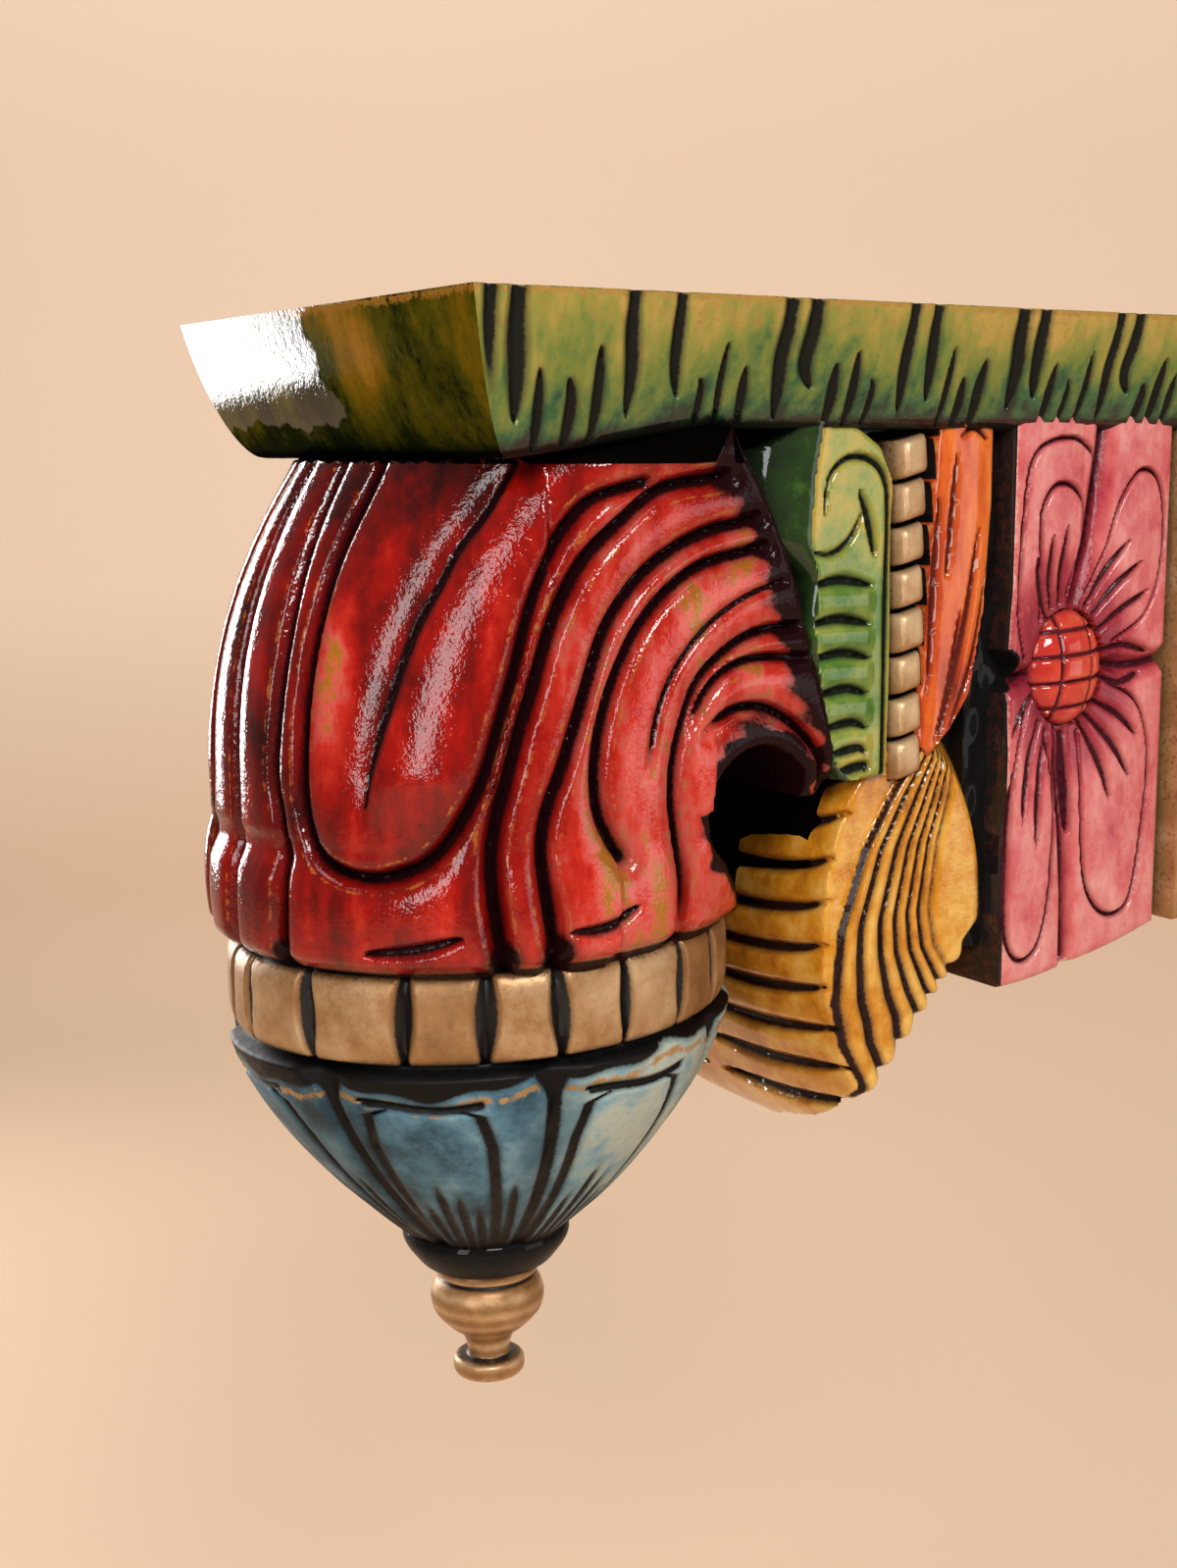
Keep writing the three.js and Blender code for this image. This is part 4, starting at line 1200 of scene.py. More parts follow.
@dataclass
class Volute:
    """Mustard volute: a boss across the bracket with chips in front and fanned ridges at each end."""

    y: float = 130.0
    z: float = -140.0
    depth: float = 32.0
    drop: float = 60.0
    end_shift: float = 10.0
    half_width: float = 60.0
    cell: float = 0.85
    rib: Path = ((-98, 123), (-108, 115), (-120, 107.5), (-138, 101), (-155, 99.5), (-165, 102), (-175, 108))
    tongue: Path = (
        (-98, 136), (-110, 134), (-120, 131), (-136, 129), (-145, 131), (-153, 136.6), (-160, 142))
    ridges: int = 6
    ridge_rise: float = 2.7
    scallop: float = 3.2
    chip_count: int = 9
    chip_top: float = -107.0
    chip_pitch: float = 9.6
    chip_width: float = 2.7
    chip_depth: float = 2.6
    top: float = -92.0
    ridge_starts: tuple[float, ...] = (-0.2, 0.0, 0.2, 0.42, 0.58, 0.73, 0.86, 1.0, 1.25)

    def share(self, x: Array) -> Array:
        """Size of the outline at a place across."""
        return 1 - 0.3 * np.clip(np.abs(x) / self.half_width, 0, 1.1) ** 3.2

    def ridge_place(self, y: Array, z: Array) -> Array:
        """Place across the fan of ridges: 0 at the rib, 1 at the tongue."""
        start, stop = at_height(self.rib, z), at_height(self.tongue, z)
        return (y - start) / (stop - start)

    def ridge_number(self, y: Array, z: Array) -> Array:
        """Number of the ridge at a place on the end face, with its part run through."""
        numbers = np.arange(len(self.ridge_starts)) - 1.0
        return np.interp(self.ridge_place(y, z), self.ridge_starts, numbers)

    def under(self, x: Array, y: Array) -> Array:
        """Height of the slanting cut under the volute."""
        return -176 + (y - 108) * 1.04 - (self.half_width - np.abs(x)) * 0.6

    def carve(self, y: Array, z: Array) -> tuple[Array, Array, Array]:
        """Ridges on the end faces.

        Args:
            y: place from front to wall.
            z: height.

        Returns:
            Height of the ridges, darkness between them and rubbed crests.
        """
        place = self.ridge_number(y, z)
        step = place - np.floor(place)
        near = np.minimum(step, 1 - step)
        ridge = np.sqrt(np.clip(1 - (2 * step - 1) ** 2, 0, 1))
        on_fan = smooth(-0.1, 0.0, place) * smooth(self.ridges + 0.2, self.ridges - 0.2, place)
        cut = np.clip(1 - near / 0.34, 0, 1) * on_fan
        height = self.ridge_rise * ridge * on_fan - 0.5 * place * on_fan
        return height, cut, np.clip(ridge * 1.5 - 0.8, 0, 1) * on_fan

    def chips(self, x: Array, y: Array, z: Array) -> Array:
        """Lens-shaped chips across the front, rising to the ends.

        Args:
            x: place across.
            y: place from front to wall.
            z: height.

        Returns:
            1 on a chip's bottom, falling to 0 at its edges.
        """
        cuts = []
        for index in range(self.chip_count):
            level = self.chip_top - self.chip_pitch * index
            end = level + (5 - 0.4 * index) + 1.5
            path = [(59, end), (48, level + 2.0), (28, level - 0.5), (3, level - 1.5)]
            cuts.append((path, self.chip_width, FINE))
        return gouged(np.abs(x), z, cuts) * self.in_front(y)

    def in_front(self, y: Array) -> Array:
        """1 on the front of the volute, easing to 0 behind its middle."""
        return smooth(self.y + 4, self.y - 6, y)

    def build(self) -> bpy.types.Object:
        """Builds and dresses the volute.

        Returns:
            The volute.
        """
        block = WoodBlock((-64.0, 93.6, -204.0), (64.0, 168.0, -90.4), self.cell)
        x, y, z = block.axes()
        middle = self.y - self.end_shift * (x / self.half_width) ** 2
        out = np.hypot((y - middle) / self.depth, (z - self.z) / self.drop)
        mantle = (out - self.share(x)) * 36
        chips = self.chips(x[:, 0], np.array(100.0), z[0])
        mantle = mantle + self.chip_depth * chips[:, None, :] * self.in_front(y)
        lift, _, _ = self.carve(y[0], z[0])
        ends = np.abs(x) - (self.half_width - 1.8 + lift[None])
        scallop = self.scallop * np.abs(np.sin(np.pi * self.ridge_number(y[0], z[0])))
        under = (self.under(x, y) - scallop[None] - z) * 0.7
        values = np.maximum(np.maximum(mantle, ends), np.maximum(under, z - self.top))
        points, quads = block.cut(values)
        px, py, pz = points.T
        _, dark, edge = self.carve(py, pz)
        at_end = smooth(self.half_width - 7, self.half_width - 3.5, np.abs(px))
        chip = self.chips(px, py, pz) * (1 - at_end)
        dark = np.maximum(dark * at_end, chip)
        dark = np.maximum(dark, smooth(141, 145, py) * smooth(-160, -150, pz))
        tone = 0.62 + 0.12 * at_end - 0.15 * smooth(-130, -105, pz)
        tone = tone + 0.3 * smooth(-1.5, 1.5, self.under(px, py) - pz + 2)
        carving = Carving(points, [quads], dark, edge * at_end, tone, np.zeros(len(quads)))
        return carving.piece("mustard_volute", [MUSTARD_ENAMEL.material()])


# The side panels


@dataclass
class LeafPanel:
    """Panel between the scroll and the flower block: a curled leaf and an upright petal on black ground."""

    start: float = 60.0
    stop: float = 149.0
    top: float = -20.0
    bottom: float = -139.0
    step: float = 0.6
    ground: float = 50.0
    web: float = 24.0
    leaf_x: float = 61.8
    petal_x: float = 61.2
    leaf_left: Path = (
        (-22, 93), (-36, 90.5), (-50, 89.5), (-58, 91.7), (-69, 91), (-78, 92.3), (-90, 94.6), (-99, 97.4),
        (-103, 101))
    leaf_right: float = 113.4
    leaf_foot: float = -103.5
    leaf_cuts: tuple[float, ...] = (-59.4, -67.9, -75.4, -83.4, -91.0, -96.8, -101.0)
    curl: Path = (
        (93.6, -44), (94.8, -36.5), (99.5, -32.4), (105.5, -32.4), (110, -36), (111.6, -44), (111.4, -70),
        (111.6, -102))
    vein: Path = ((103, -39), (105.4, -44), (106.8, -49), (107.8, -54))
    crease: Path = ((90, -52.5), (96, -52.8), (101, -49.5), (104, -44))
    flank_depth: float = 25.0
    cut_depth: float = 2.0
    petal_left: Path = ((-20, 126.5), (-52, 124.5), (-97, 121.5), (-100, 124))
    petal_right: Path = ((-20, 143), (-42, 143.2), (-67, 141.6), (-86, 138), (-94, 132), (-100, 125))
    petal_foot: float = -99.5
    petal_cuts: tuple[Cut, ...] = (
        (((131, -31), (130, -45), (128.6, -60)), 1.2, FINE),
        (((138, -48), (134.5, -70), (127, -97)), 1.6, FINE),
        (((126.8, -40), (125.6, -60), (124.3, -86)), 1.0, FINE),
        (((141, -58), (138, -76), (130.5, -94)), 1.3, FINE),
        (((133, -66), (130, -84), (126, -96)), 1.2, FINE),
        (((132, -27.5), (136, -25.5), (140.5, -28.5)), 1.2, FINE),
    )
    eye: tuple[float, float] = (77.5, -107.0)
    hole: tuple[float, float] = (143.0, -81.5)

    def build(self) -> bpy.types.Object:
        """Builds and dresses both panels.

        Returns:
            The panels, as one piece.
        """
        y = np.arange(self.start, self.stop + 0.1, self.step)[:, None]
        z = np.arange(self.bottom, self.top + 0.1, self.step)[None, :]
        panel = Relief(y, z, self.ground - 14 * smooth(100, 92, y), groove=1.0)
        from_eye = np.hypot(y - self.eye[0], z - self.eye[1])
        gap = (from_eye < 15) | ((z < self.eye[1]) & (y < 99))
        panel.lay(gap, x=self.web)
        panel.lay(gap | (y < 112), zone=3)
        self.leaf(panel)
        self.petal(panel)
        hole = np.hypot(y - self.hole[0], z - self.hole[1])
        panel.lay(hole < 5, x=45.0)
        panel.lay(hole < 5.3, groove=1.0)
        finishes = [paint.material() for paint in (BLACK_GLOSS, LEAF_GREEN, ORANGE_ENAMEL, HOLLOW_BLACK)]
        return panel.both_sides("leaf_panel", finishes)

    def leaf(self, panel: Relief) -> None:
        """Carves the curled leaf into the panel.

        Args:
            panel: the face that it is carved into.
        """
        y, z = panel.y, panel.z
        left = at_height(self.leaf_left, z)
        crown = np.interp(y, [80, 88, 101, 109, self.leaf_right], [-30, -24.5, -24, -29, -38])
        inside = np.minimum(np.minimum(y - left, self.leaf_right - y), crown - z)
        inside = np.minimum(inside, z - self.leaf_foot)
        flank = np.clip((left - y) / (4 + 14 * smooth(-60, -48, z)), 0, 1)
        on_flank = (flank > 0) & (flank < 1) & (z < crown) & (z > self.leaf_foot)
        cuts = [(self.curl, 1.5, (0.4, 1.0)), (self.vein, 1.6, FINE)]
        for index, level in enumerate(self.leaf_cuts):
            first = float(at_height(self.leaf_left, level))
            path = [(first - 1, level - 0.4), (first + 7, level + 0.8), (107.5 - index * 0.3, level - 0.7)]
            cuts.append((path, 1.9, (0.5, 0.0)))
        shallow = 0.8 * stroke(y, z, self.crease, 1.3)
        cut = np.maximum(gouged(y, z, cuts), shallow)
        billow = 0.9 * np.abs(np.sin(np.pi * (z + 59.4) / 8.1)) * smooth(108.5, 105, y) * smooth(-57, -61, z)
        face = self.leaf_x - eased_edge(inside, 2.4) * np.where(y - left < 3, 0.2, 1)
        face = face - self.cut_depth * cut + billow - 0.9
        side = self.leaf_x - self.flank_depth * (1 - np.sqrt(np.clip(1 - flank**2, 0, 1)))
        bright = 0.62 + 0.22 * smooth(-62, -48, z) + 0.2 * smooth(-88, -96, z)
        bright = bright + 0.3 * smooth(4, 0.5, y - left) * smooth(-52, -45, z)
        bright = bright + 0.25 * smooth(110.5, 112.5, y)
        on_face = inside > 0
        # The flank darkens as it curves in towards the ground: painted shade
        panel.lay(on_flank, x=side, groove=0.35 * flank**2, tone=0.3 - 0.3 * flank)
        panel.lay(on_face, x=face, groove=np.clip(cut * 1.1, 0, 1), tone=bright,
                  edge=np.clip(1 - inside / 3, 0, 1))
        panel.lay(on_face | (on_flank & (flank < 0.8)), zone=1)

    def petal(self, panel: Relief) -> None:
        """Carves the upright petal into the panel.

        Args:
            panel: the face that it is carved into.
        """
        y, z = panel.y, panel.z
        left, right = at_height(self.petal_left, z), at_height(self.petal_right, z)
        inside = np.minimum(np.minimum(y - left, right - y), z - self.petal_foot)
        across = np.clip((y - left) / np.maximum(right - left, 0.5), 0, 1)
        cut = gouged(y, z, self.petal_cuts)
        face = self.petal_x - eased_edge(inside, 2.0) + 1.2 * (1 - (2 * across - 1) ** 2) - 1.2 - 1.7 * cut
        tone = 0.35 + 0.45 * across * smooth(-85, -60, z) + 0.1 * smooth(-40, -26, z)
        panel.lay(inside > 0, x=face, groove=np.clip(cut * 1.1, 0, 1), tone=tone,
                  edge=np.clip(1 - inside / 3, 0, 1), zone=2)


@dataclass
class BeadStrips:
    """Gold slanted beads in a row on each side, between the leaf and the petal."""

    y: float = 118.3
    top: float = -27.0
    bottom: float = -104.0
    x: float = 56.0
    width: float = 7.4
    count: int = 8
    sunk: float = -4.0
    unevenness: float = 0.04
    seed: int = 7

    def pitch(self) -> float:
        """Distance from bead to bead."""
        return (self.top - self.bottom) / self.count

    def bead(self) -> bpy.types.Object:
        """Makes one bead: a slanted cushion, lower at its rims, with its middle at the origin.

        Returns:
            The bead.
        """
        u = np.linspace(-1, 1, 13)[:, None]
        v = np.linspace(-1, 1, 15)[None, :]
        rise = (1 - np.abs(u) ** 5) * (1 - np.abs(v) ** 6)
        y = u * self.width / 2 + 0 * v
        z = v * (self.pitch() / 2 - 0.3) + 0.26 * y
        x = 2.4 + 3.6 * np.sqrt(np.clip(rise, 0, 1)) - 0.5 * v
        near = np.clip(np.maximum(np.abs(u), np.abs(v)) * 4.5 - 3.4, 0, 1)
        # Each bead is painted lighter towards its top, as painted light
        bead = Relief(y, z, x, 0.9 * smooth(0.8, 1.0, np.abs(v)), near, 0.72 + 0.2 * v)
        thing = bead.slab(self.sunk).piece("bead_pattern", [])
        offset = np.array([0.0, -REACH, SHELF_TOP]) / 1000.0
        for vertex in thing.data.vertices:
            vertex.co = [value - shift for value, shift in zip(vertex.co, offset)]
        return thing

    def tree(self, bead: bpy.types.Object, finish: bpy.types.Material) -> bpy.types.GeometryNodeTree:
        """Node tree that repeats the bead down a line, with a little unevenness, and gives it its paint.

        Args:
            bead: the bead that is repeated.
            finish: its paint.

        Returns:
            The tree, with its sizes as named inputs.
        """
        tree = bpy.data.node_groups.new("bead_row", "GeometryNodeTree")
        tree.interface.new_socket("Geometry", in_out="INPUT", socket_type="NodeSocketGeometry")
        for name, kind in (("Count", "Int"), ("Start", "Vector"), ("Pitch", "Vector"),
                           ("Unevenness", "Float"), ("Seed", "Int")):
            tree.interface.new_socket(name, in_out="INPUT", socket_type="NodeSocket" + kind)
        tree.interface.new_socket("Geometry", in_out="OUTPUT", socket_type="NodeSocketGeometry")
        given = add_node(tree, "NodeGroupInput").outputs
        line = add_node(tree, "GeometryNodeMeshLine", {"mode": "OFFSET"}, Count=given["Count"],
                        Start_Location=given["Start"], Offset=given["Pitch"]).outputs[0]
        source = add_node(tree, "GeometryNodeObjectInfo", Object=bead).outputs["Geometry"]
        low, high = [
            add_node(tree, "ShaderNodeMath", {"operation": way}, i0=1.0, i1=given["Unevenness"]).outputs[0]
            for way in ("SUBTRACT", "ADD")
        ]
        size = add_node(tree, "FunctionNodeRandomValue", {"data_type": "FLOAT"}, i2=low, i3=high,
                        Seed=given["Seed"]).outputs[1]
        beads = add_node(tree, "GeometryNodeInstanceOnPoints", Points=line, Instance=source,
                         Scale=size).outputs[0]
        solid = add_node(tree, "GeometryNodeRealizeInstances", i0=beads).outputs[0]
        painted = add_node(tree, "GeometryNodeSetMaterial", Geometry=solid, Material=finish).outputs[0]
        add_node(tree, "NodeGroupOutput", i0=painted)
        return tree

    def build(self) -> list[bpy.types.Object]:
        """Builds and dresses the rows on both sides.

        Returns:
            The right row and the left row.
        """
        bead = self.bead()
        tree = self.tree(bead, GOLD_PAINT.material())
        inputs = [item for item in tree.interface.items_tree if item.in_out == "INPUT"]
        sockets = {item.name: item.identifier for item in inputs}
        pitch = self.pitch()
        start = to_row(np.array([self.x, self.y, self.top - pitch / 2]))
        values = {"Count": self.count, "Start": tuple(start), "Pitch": (0.0, 0.0, -pitch / 1000.0),
                  "Unevenness": self.unevenness, "Seed": self.seed}
        carrier = bpy.data.objects.new("bead_carrier", bpy.data.meshes.new("bead_carrier"))
        bpy.context.scene.collection.objects.link(carrier)
        modifier = carrier.modifiers.new("beads", "NODES")
        modifier.node_group = tree
        for name, value in values.items():
            modifier[sockets[name]] = value
        row = bpy.data.meshes.new_from_object(carrier.evaluated_get(bpy.context.evaluated_depsgraph_get()))
        bpy.data.objects.remove(carrier)
        bpy.data.objects.remove(bead)
        other = row.copy()
        other.transform(((-1, 0, 0, 0), (0, 1, 0, 0), (0, 0, 1, 0), (0, 0, 0, 1)))
        other.flip_normals()
        strips = []
        for name, mesh in (("bead_strip_right", row), ("bead_strip_left", other)):
            strip = bpy.data.objects.new(name, mesh)
            bpy.context.scene.collection.objects.link(strip)
            strips.append(strip)
        return strips


@dataclass
class FlowerBlock:
    """Pink block with one four-petalled flower on each side, its petals grooved in loops round a button."""

    start: float = 147.4
    stop: float = 198.6
    top: float = -20.0
    bottom_front: float = -157.0
    bottom_back: float = -147.0
    step: float = 0.5
    face: float = 58.8
    raised: float = 3.8
    button: tuple[float, float] = (167.0, -81.5)
    button_size: tuple[float, float] = (11.7, 14.2)
    button_rise: float = 6.8
    button_rows: tuple[float, ...] = (-9.2, -3.0, 3.2, 9.0)
    button_columns: tuple[float, ...] = (-4.6, 4.8)
    notch_y: float = 146.6
    notch_depth: float = 8.0
    cut_depth: float = 1.9
    ray_width: float = 1.6
    valleys: tuple[Cut, ...] = (
        (((176.2, -18), (175, -30), (172, -50), (168.5, -66)), 4.4, (1, 0.6)),
        (((164.5, -96), (165.6, -112), (167.4, -130), (168.4, -152)), 3.6, (0.6, 1)),
        (((140, -83), (150, -83.2), (157, -82.5)), 5.0, (1, 0.3)),
        (((178, -81), (188, -82), (203, -80)), 4.4, (0.3, 1)),
    )
    loops: tuple[tuple[float, Path], ...] = (
        (0.9, ((153, -79), (149.6, -66), (150.2, -45), (152.3, -33), (158, -28.6), (167, -28.2), (173, -34),
               (173.2, -46), (169, -63))),
        (1.0, ((157.5, -70), (155.8, -56), (155.6, -45), (159.3, -39), (165, -38.8), (169.3, -43.5),
               (168.8, -53), (165.6, -64))),
        (0.9, ((172, -64), (177, -52), (181, -42), (187, -35.5), (193, -37), (195.8, -46), (195, -60),
               (190, -70), (181, -76))),
        (1.0, ((155, -88), (149.3, -106), (148.2, -130), (149, -146), (153.5, -151), (159, -146.5),
               (161.8, -133), (162, -112), (160.5, -98))),
        (1.0, ((171, -97), (171.5, -116), (173.4, -133), (178, -141), (184, -143), (189.2, -138.5),
               (192.2, -122), (193.4, -104), (189, -91), (181, -86))),
    )
    rays: tuple[Path, ...] = (
        ((161, -67), (159.5, -60), (159.3, -50)), ((163.5, -66), (163.2, -58), (164, -48)),
        ((160, -70), (156.5, -62), (154.5, -55)), ((172.5, -67), (178, -58), (184, -52)),
        ((175, -69), (181.5, -62), (188.5, -57)), ((177, -73), (184, -68), (191, -64)),
        ((178, -78), (185, -77), (193, -79)), ((177.5, -84), (184, -86), (191, -84)),
        ((174, -93), (181, -100), (187, -109)), ((172, -95), (177, -104), (180.5, -114)),
        ((176.5, -90), (184, -94), (189, -99)), ((158, -94), (154, -104), (152.5, -118)),
        ((160.5, -96), (157.5, -108), (157, -124)), ((163.5, -97), (163, -108), (164.5, -120)),
        ((166.5, -97), (167, -108), (168.6, -122)), ((157, -82), (151.5, -84), (147.5, -84)),
        ((157.5, -86), (153, -91), (149, -97)),
    )

    def lines(self) -> list[Cut]:
        """Lines cut into the petals: loops with blunt tips, and rays that run out."""
        loops = [(path, width, (0.7, 0.7)) for width, path in self.loops]
        return loops + [(path, self.ray_width, (0.7, 0.0)) for path in self.rays]

    def build(self) -> bpy.types.Object:
        """Builds and dresses both sides of the block.

        Returns:
            The block.
        """
        y = np.arange(self.start, self.stop + 0.1, self.step)[:, None]
        rise = ((y - self.start) / (self.stop - self.start)) ** 1.4
        foot = self.bottom_front + (self.bottom_back - self.bottom_front) * rise
        rows = np.linspace(0, 1, int((self.top - self.bottom_front) / self.step))[None, :]
        z = foot + (self.top - foot) * rows
        y = y + 0 * z
        from_button = np.hypot(
            (y - self.button[0]) / self.button_size[0], (z - self.button[1]) / self.button_size[1])
        valley = gouged(y, z, self.valleys)
        fall = np.clip(1 - (from_button - 1) * 0.9, 0, 1) * (from_button > 1)
        cuts = gouged(y, z, self.lines())
        border = np.minimum(np.minimum(y - self.start, self.stop - y), z - foot)
        plump = 0.8 * np.cos((y - 158) / 24 * np.pi) * np.where(y < 168, 1, -1)
        x = self.face + self.raised * (1 - valley**1.3) - self.cut_depth * cuts - 2.2 * fall + 0.6 * plump
        groove = np.maximum(np.maximum(cuts, np.clip((valley - 0.5) * 1.9, 0, 0.8)), 0.42 * fall)
        edge = np.clip(1 - np.abs(cuts - 0.05) * 12, 0, 1) * 0.5 + np.clip(1 - border / 2.5, 0, 1)
        tone = 0.7 - 0.5 * fall - 0.4 * valley + 0.12 * smooth(-120, -150, z)
        block = Relief(y, z, x - eased_edge(border, 2.2), groove, edge, tone)
        self.carve_button(block, from_button)
        notch = np.hypot(y - self.notch_y, z - self.button[1])
        block.lay(notch < 4.6, x=self.face - self.notch_depth)
        block.lay(notch < 5.2, groove=1.0)
        block.lay((notch < 5.2) | (border < 0.45), zone=2)
        finishes = [paint.material() for paint in (PINK_ENAMEL, BUTTON_RED, BLACK_GLOSS)]
        return block.both_sides("flower_block", finishes)

    def carve_button(self, block: Relief, out: Array) -> None:
        """Carves the button with its crossed grooves into the block.

        Args:
            block: the carved face.
            out: distance from the button's middle, as a share of its size.
        """
        y, z = self.button
        rows = [[(y - 12, z + up - 0.8), (y, z + up), (y + 12, z + up + 0.8)] for up in self.button_rows]
        columns = [[(y + on, z - 14), (y + on + 0.5, z), (y + on, z + 14)] for on in self.button_columns]
        cross = gouged(block.y, block.z, [(path, 0.9, BLUNT) for path in rows + columns])
        dome = self.face - 1.0 + self.button_rise * np.sqrt(np.clip(1 - out**2, 0, 1))
        groove = np.maximum(0.75 * np.clip(cross * 1.4, 0, 1), smooth(0.86, 1.0, out) * 0.7)
        tone = 0.55 + 0.3 * smooth(-5, 6, block.y - y)
        block.lay(out < 1, x=dome - 1.2 * cross, groove=groove, tone=tone, zone=1)


@dataclass
class EndBlock:
    """Gold block at the wall, with an upright leaf carved in outline on each side."""

    start: float = 201.0
    half_width: float = 67.0
    top: float = -25.4
    bottom: float = -146.0
    step: float = 0.7
    leaf_z: float = -84.0
    leaf_half: float = 50.0
    leaf_wide: float = 15.5
    veins: tuple[float, ...] = (-112, -98, -84, -70, -57)

    def build(self) -> bpy.types.Object:
        """Builds and dresses the block.

        Returns:
            The block.
        """
        y = np.arange(self.start, REACH + 0.1, self.step)[:, None]
        y[-1] = REACH
        z = np.arange(self.bottom, self.top + 0.1, self.step)[None, :]
        middle = (self.start + REACH) / 2
        up = (z - self.leaf_z) / self.leaf_half
        on_leaf = np.abs(z - self.leaf_z) < self.leaf_half
        spread = self.leaf_wide * np.sqrt(np.clip(1 - up**2, 0, 1)) * (0.8 + 0.2 * np.cos(up * np.pi))
        from_line = np.abs(y - middle) - spread
        ring = np.clip(1 - np.abs(from_line) / 1.7, 0, 1) * on_leaf
        inside = smooth(0, -5, from_line) * on_leaf
        cuts = [([(middle, -130), (middle + 0.4, -90), (middle, -42)], 1.3, FINE)]
        for level, way in product(self.veins, (1, -1)):
            path = [(middle, level), (middle + way * 5, level + 5), (middle + way * 10, level + 8)]
            cuts.append((path, 0.9, FINE))
        vein = gouged(y, z, cuts)
        border = np.minimum(y - self.start, z - self.bottom)
        x = self.half_width - 1.6 * ring + 1.2 * inside - 1.4 * vein - eased_edge(border, 1.8)
        edge = np.clip(1 - border / 3, 0, 1)
        block = Relief(y, z, x, np.maximum(ring, vein), edge, 0.55 + 0.2 * inside)
        return block.both_sides("gold_end_block", [GOLD_PAINT.material()])


@dataclass
class BlackSpine:
    """Black wood between the flower block and the end block, and behind the panels."""

    half_width: float = 55.0
    start: float = 140.0
    stop: float = 204.0
    bottom: float = -147.5
    top: float = -12.0

    def build(self) -> bpy.types.Object:
        """Builds and dresses the spine.

        Returns:
            The spine.
        """
        y = np.linspace(self.start, self.stop, 40)[:, None]
        z = np.linspace(self.bottom, self.top, 80)[None, :]
        x = self.half_width + 0.6 * np.sin(y * 0.9) * np.sin(z * 0.35)
        spine = Relief(y, z, x, groove=1.0, tone=0.4)
        return spine.both_sides("black_spine", [BLACK_GLOSS.material()])


# The bud


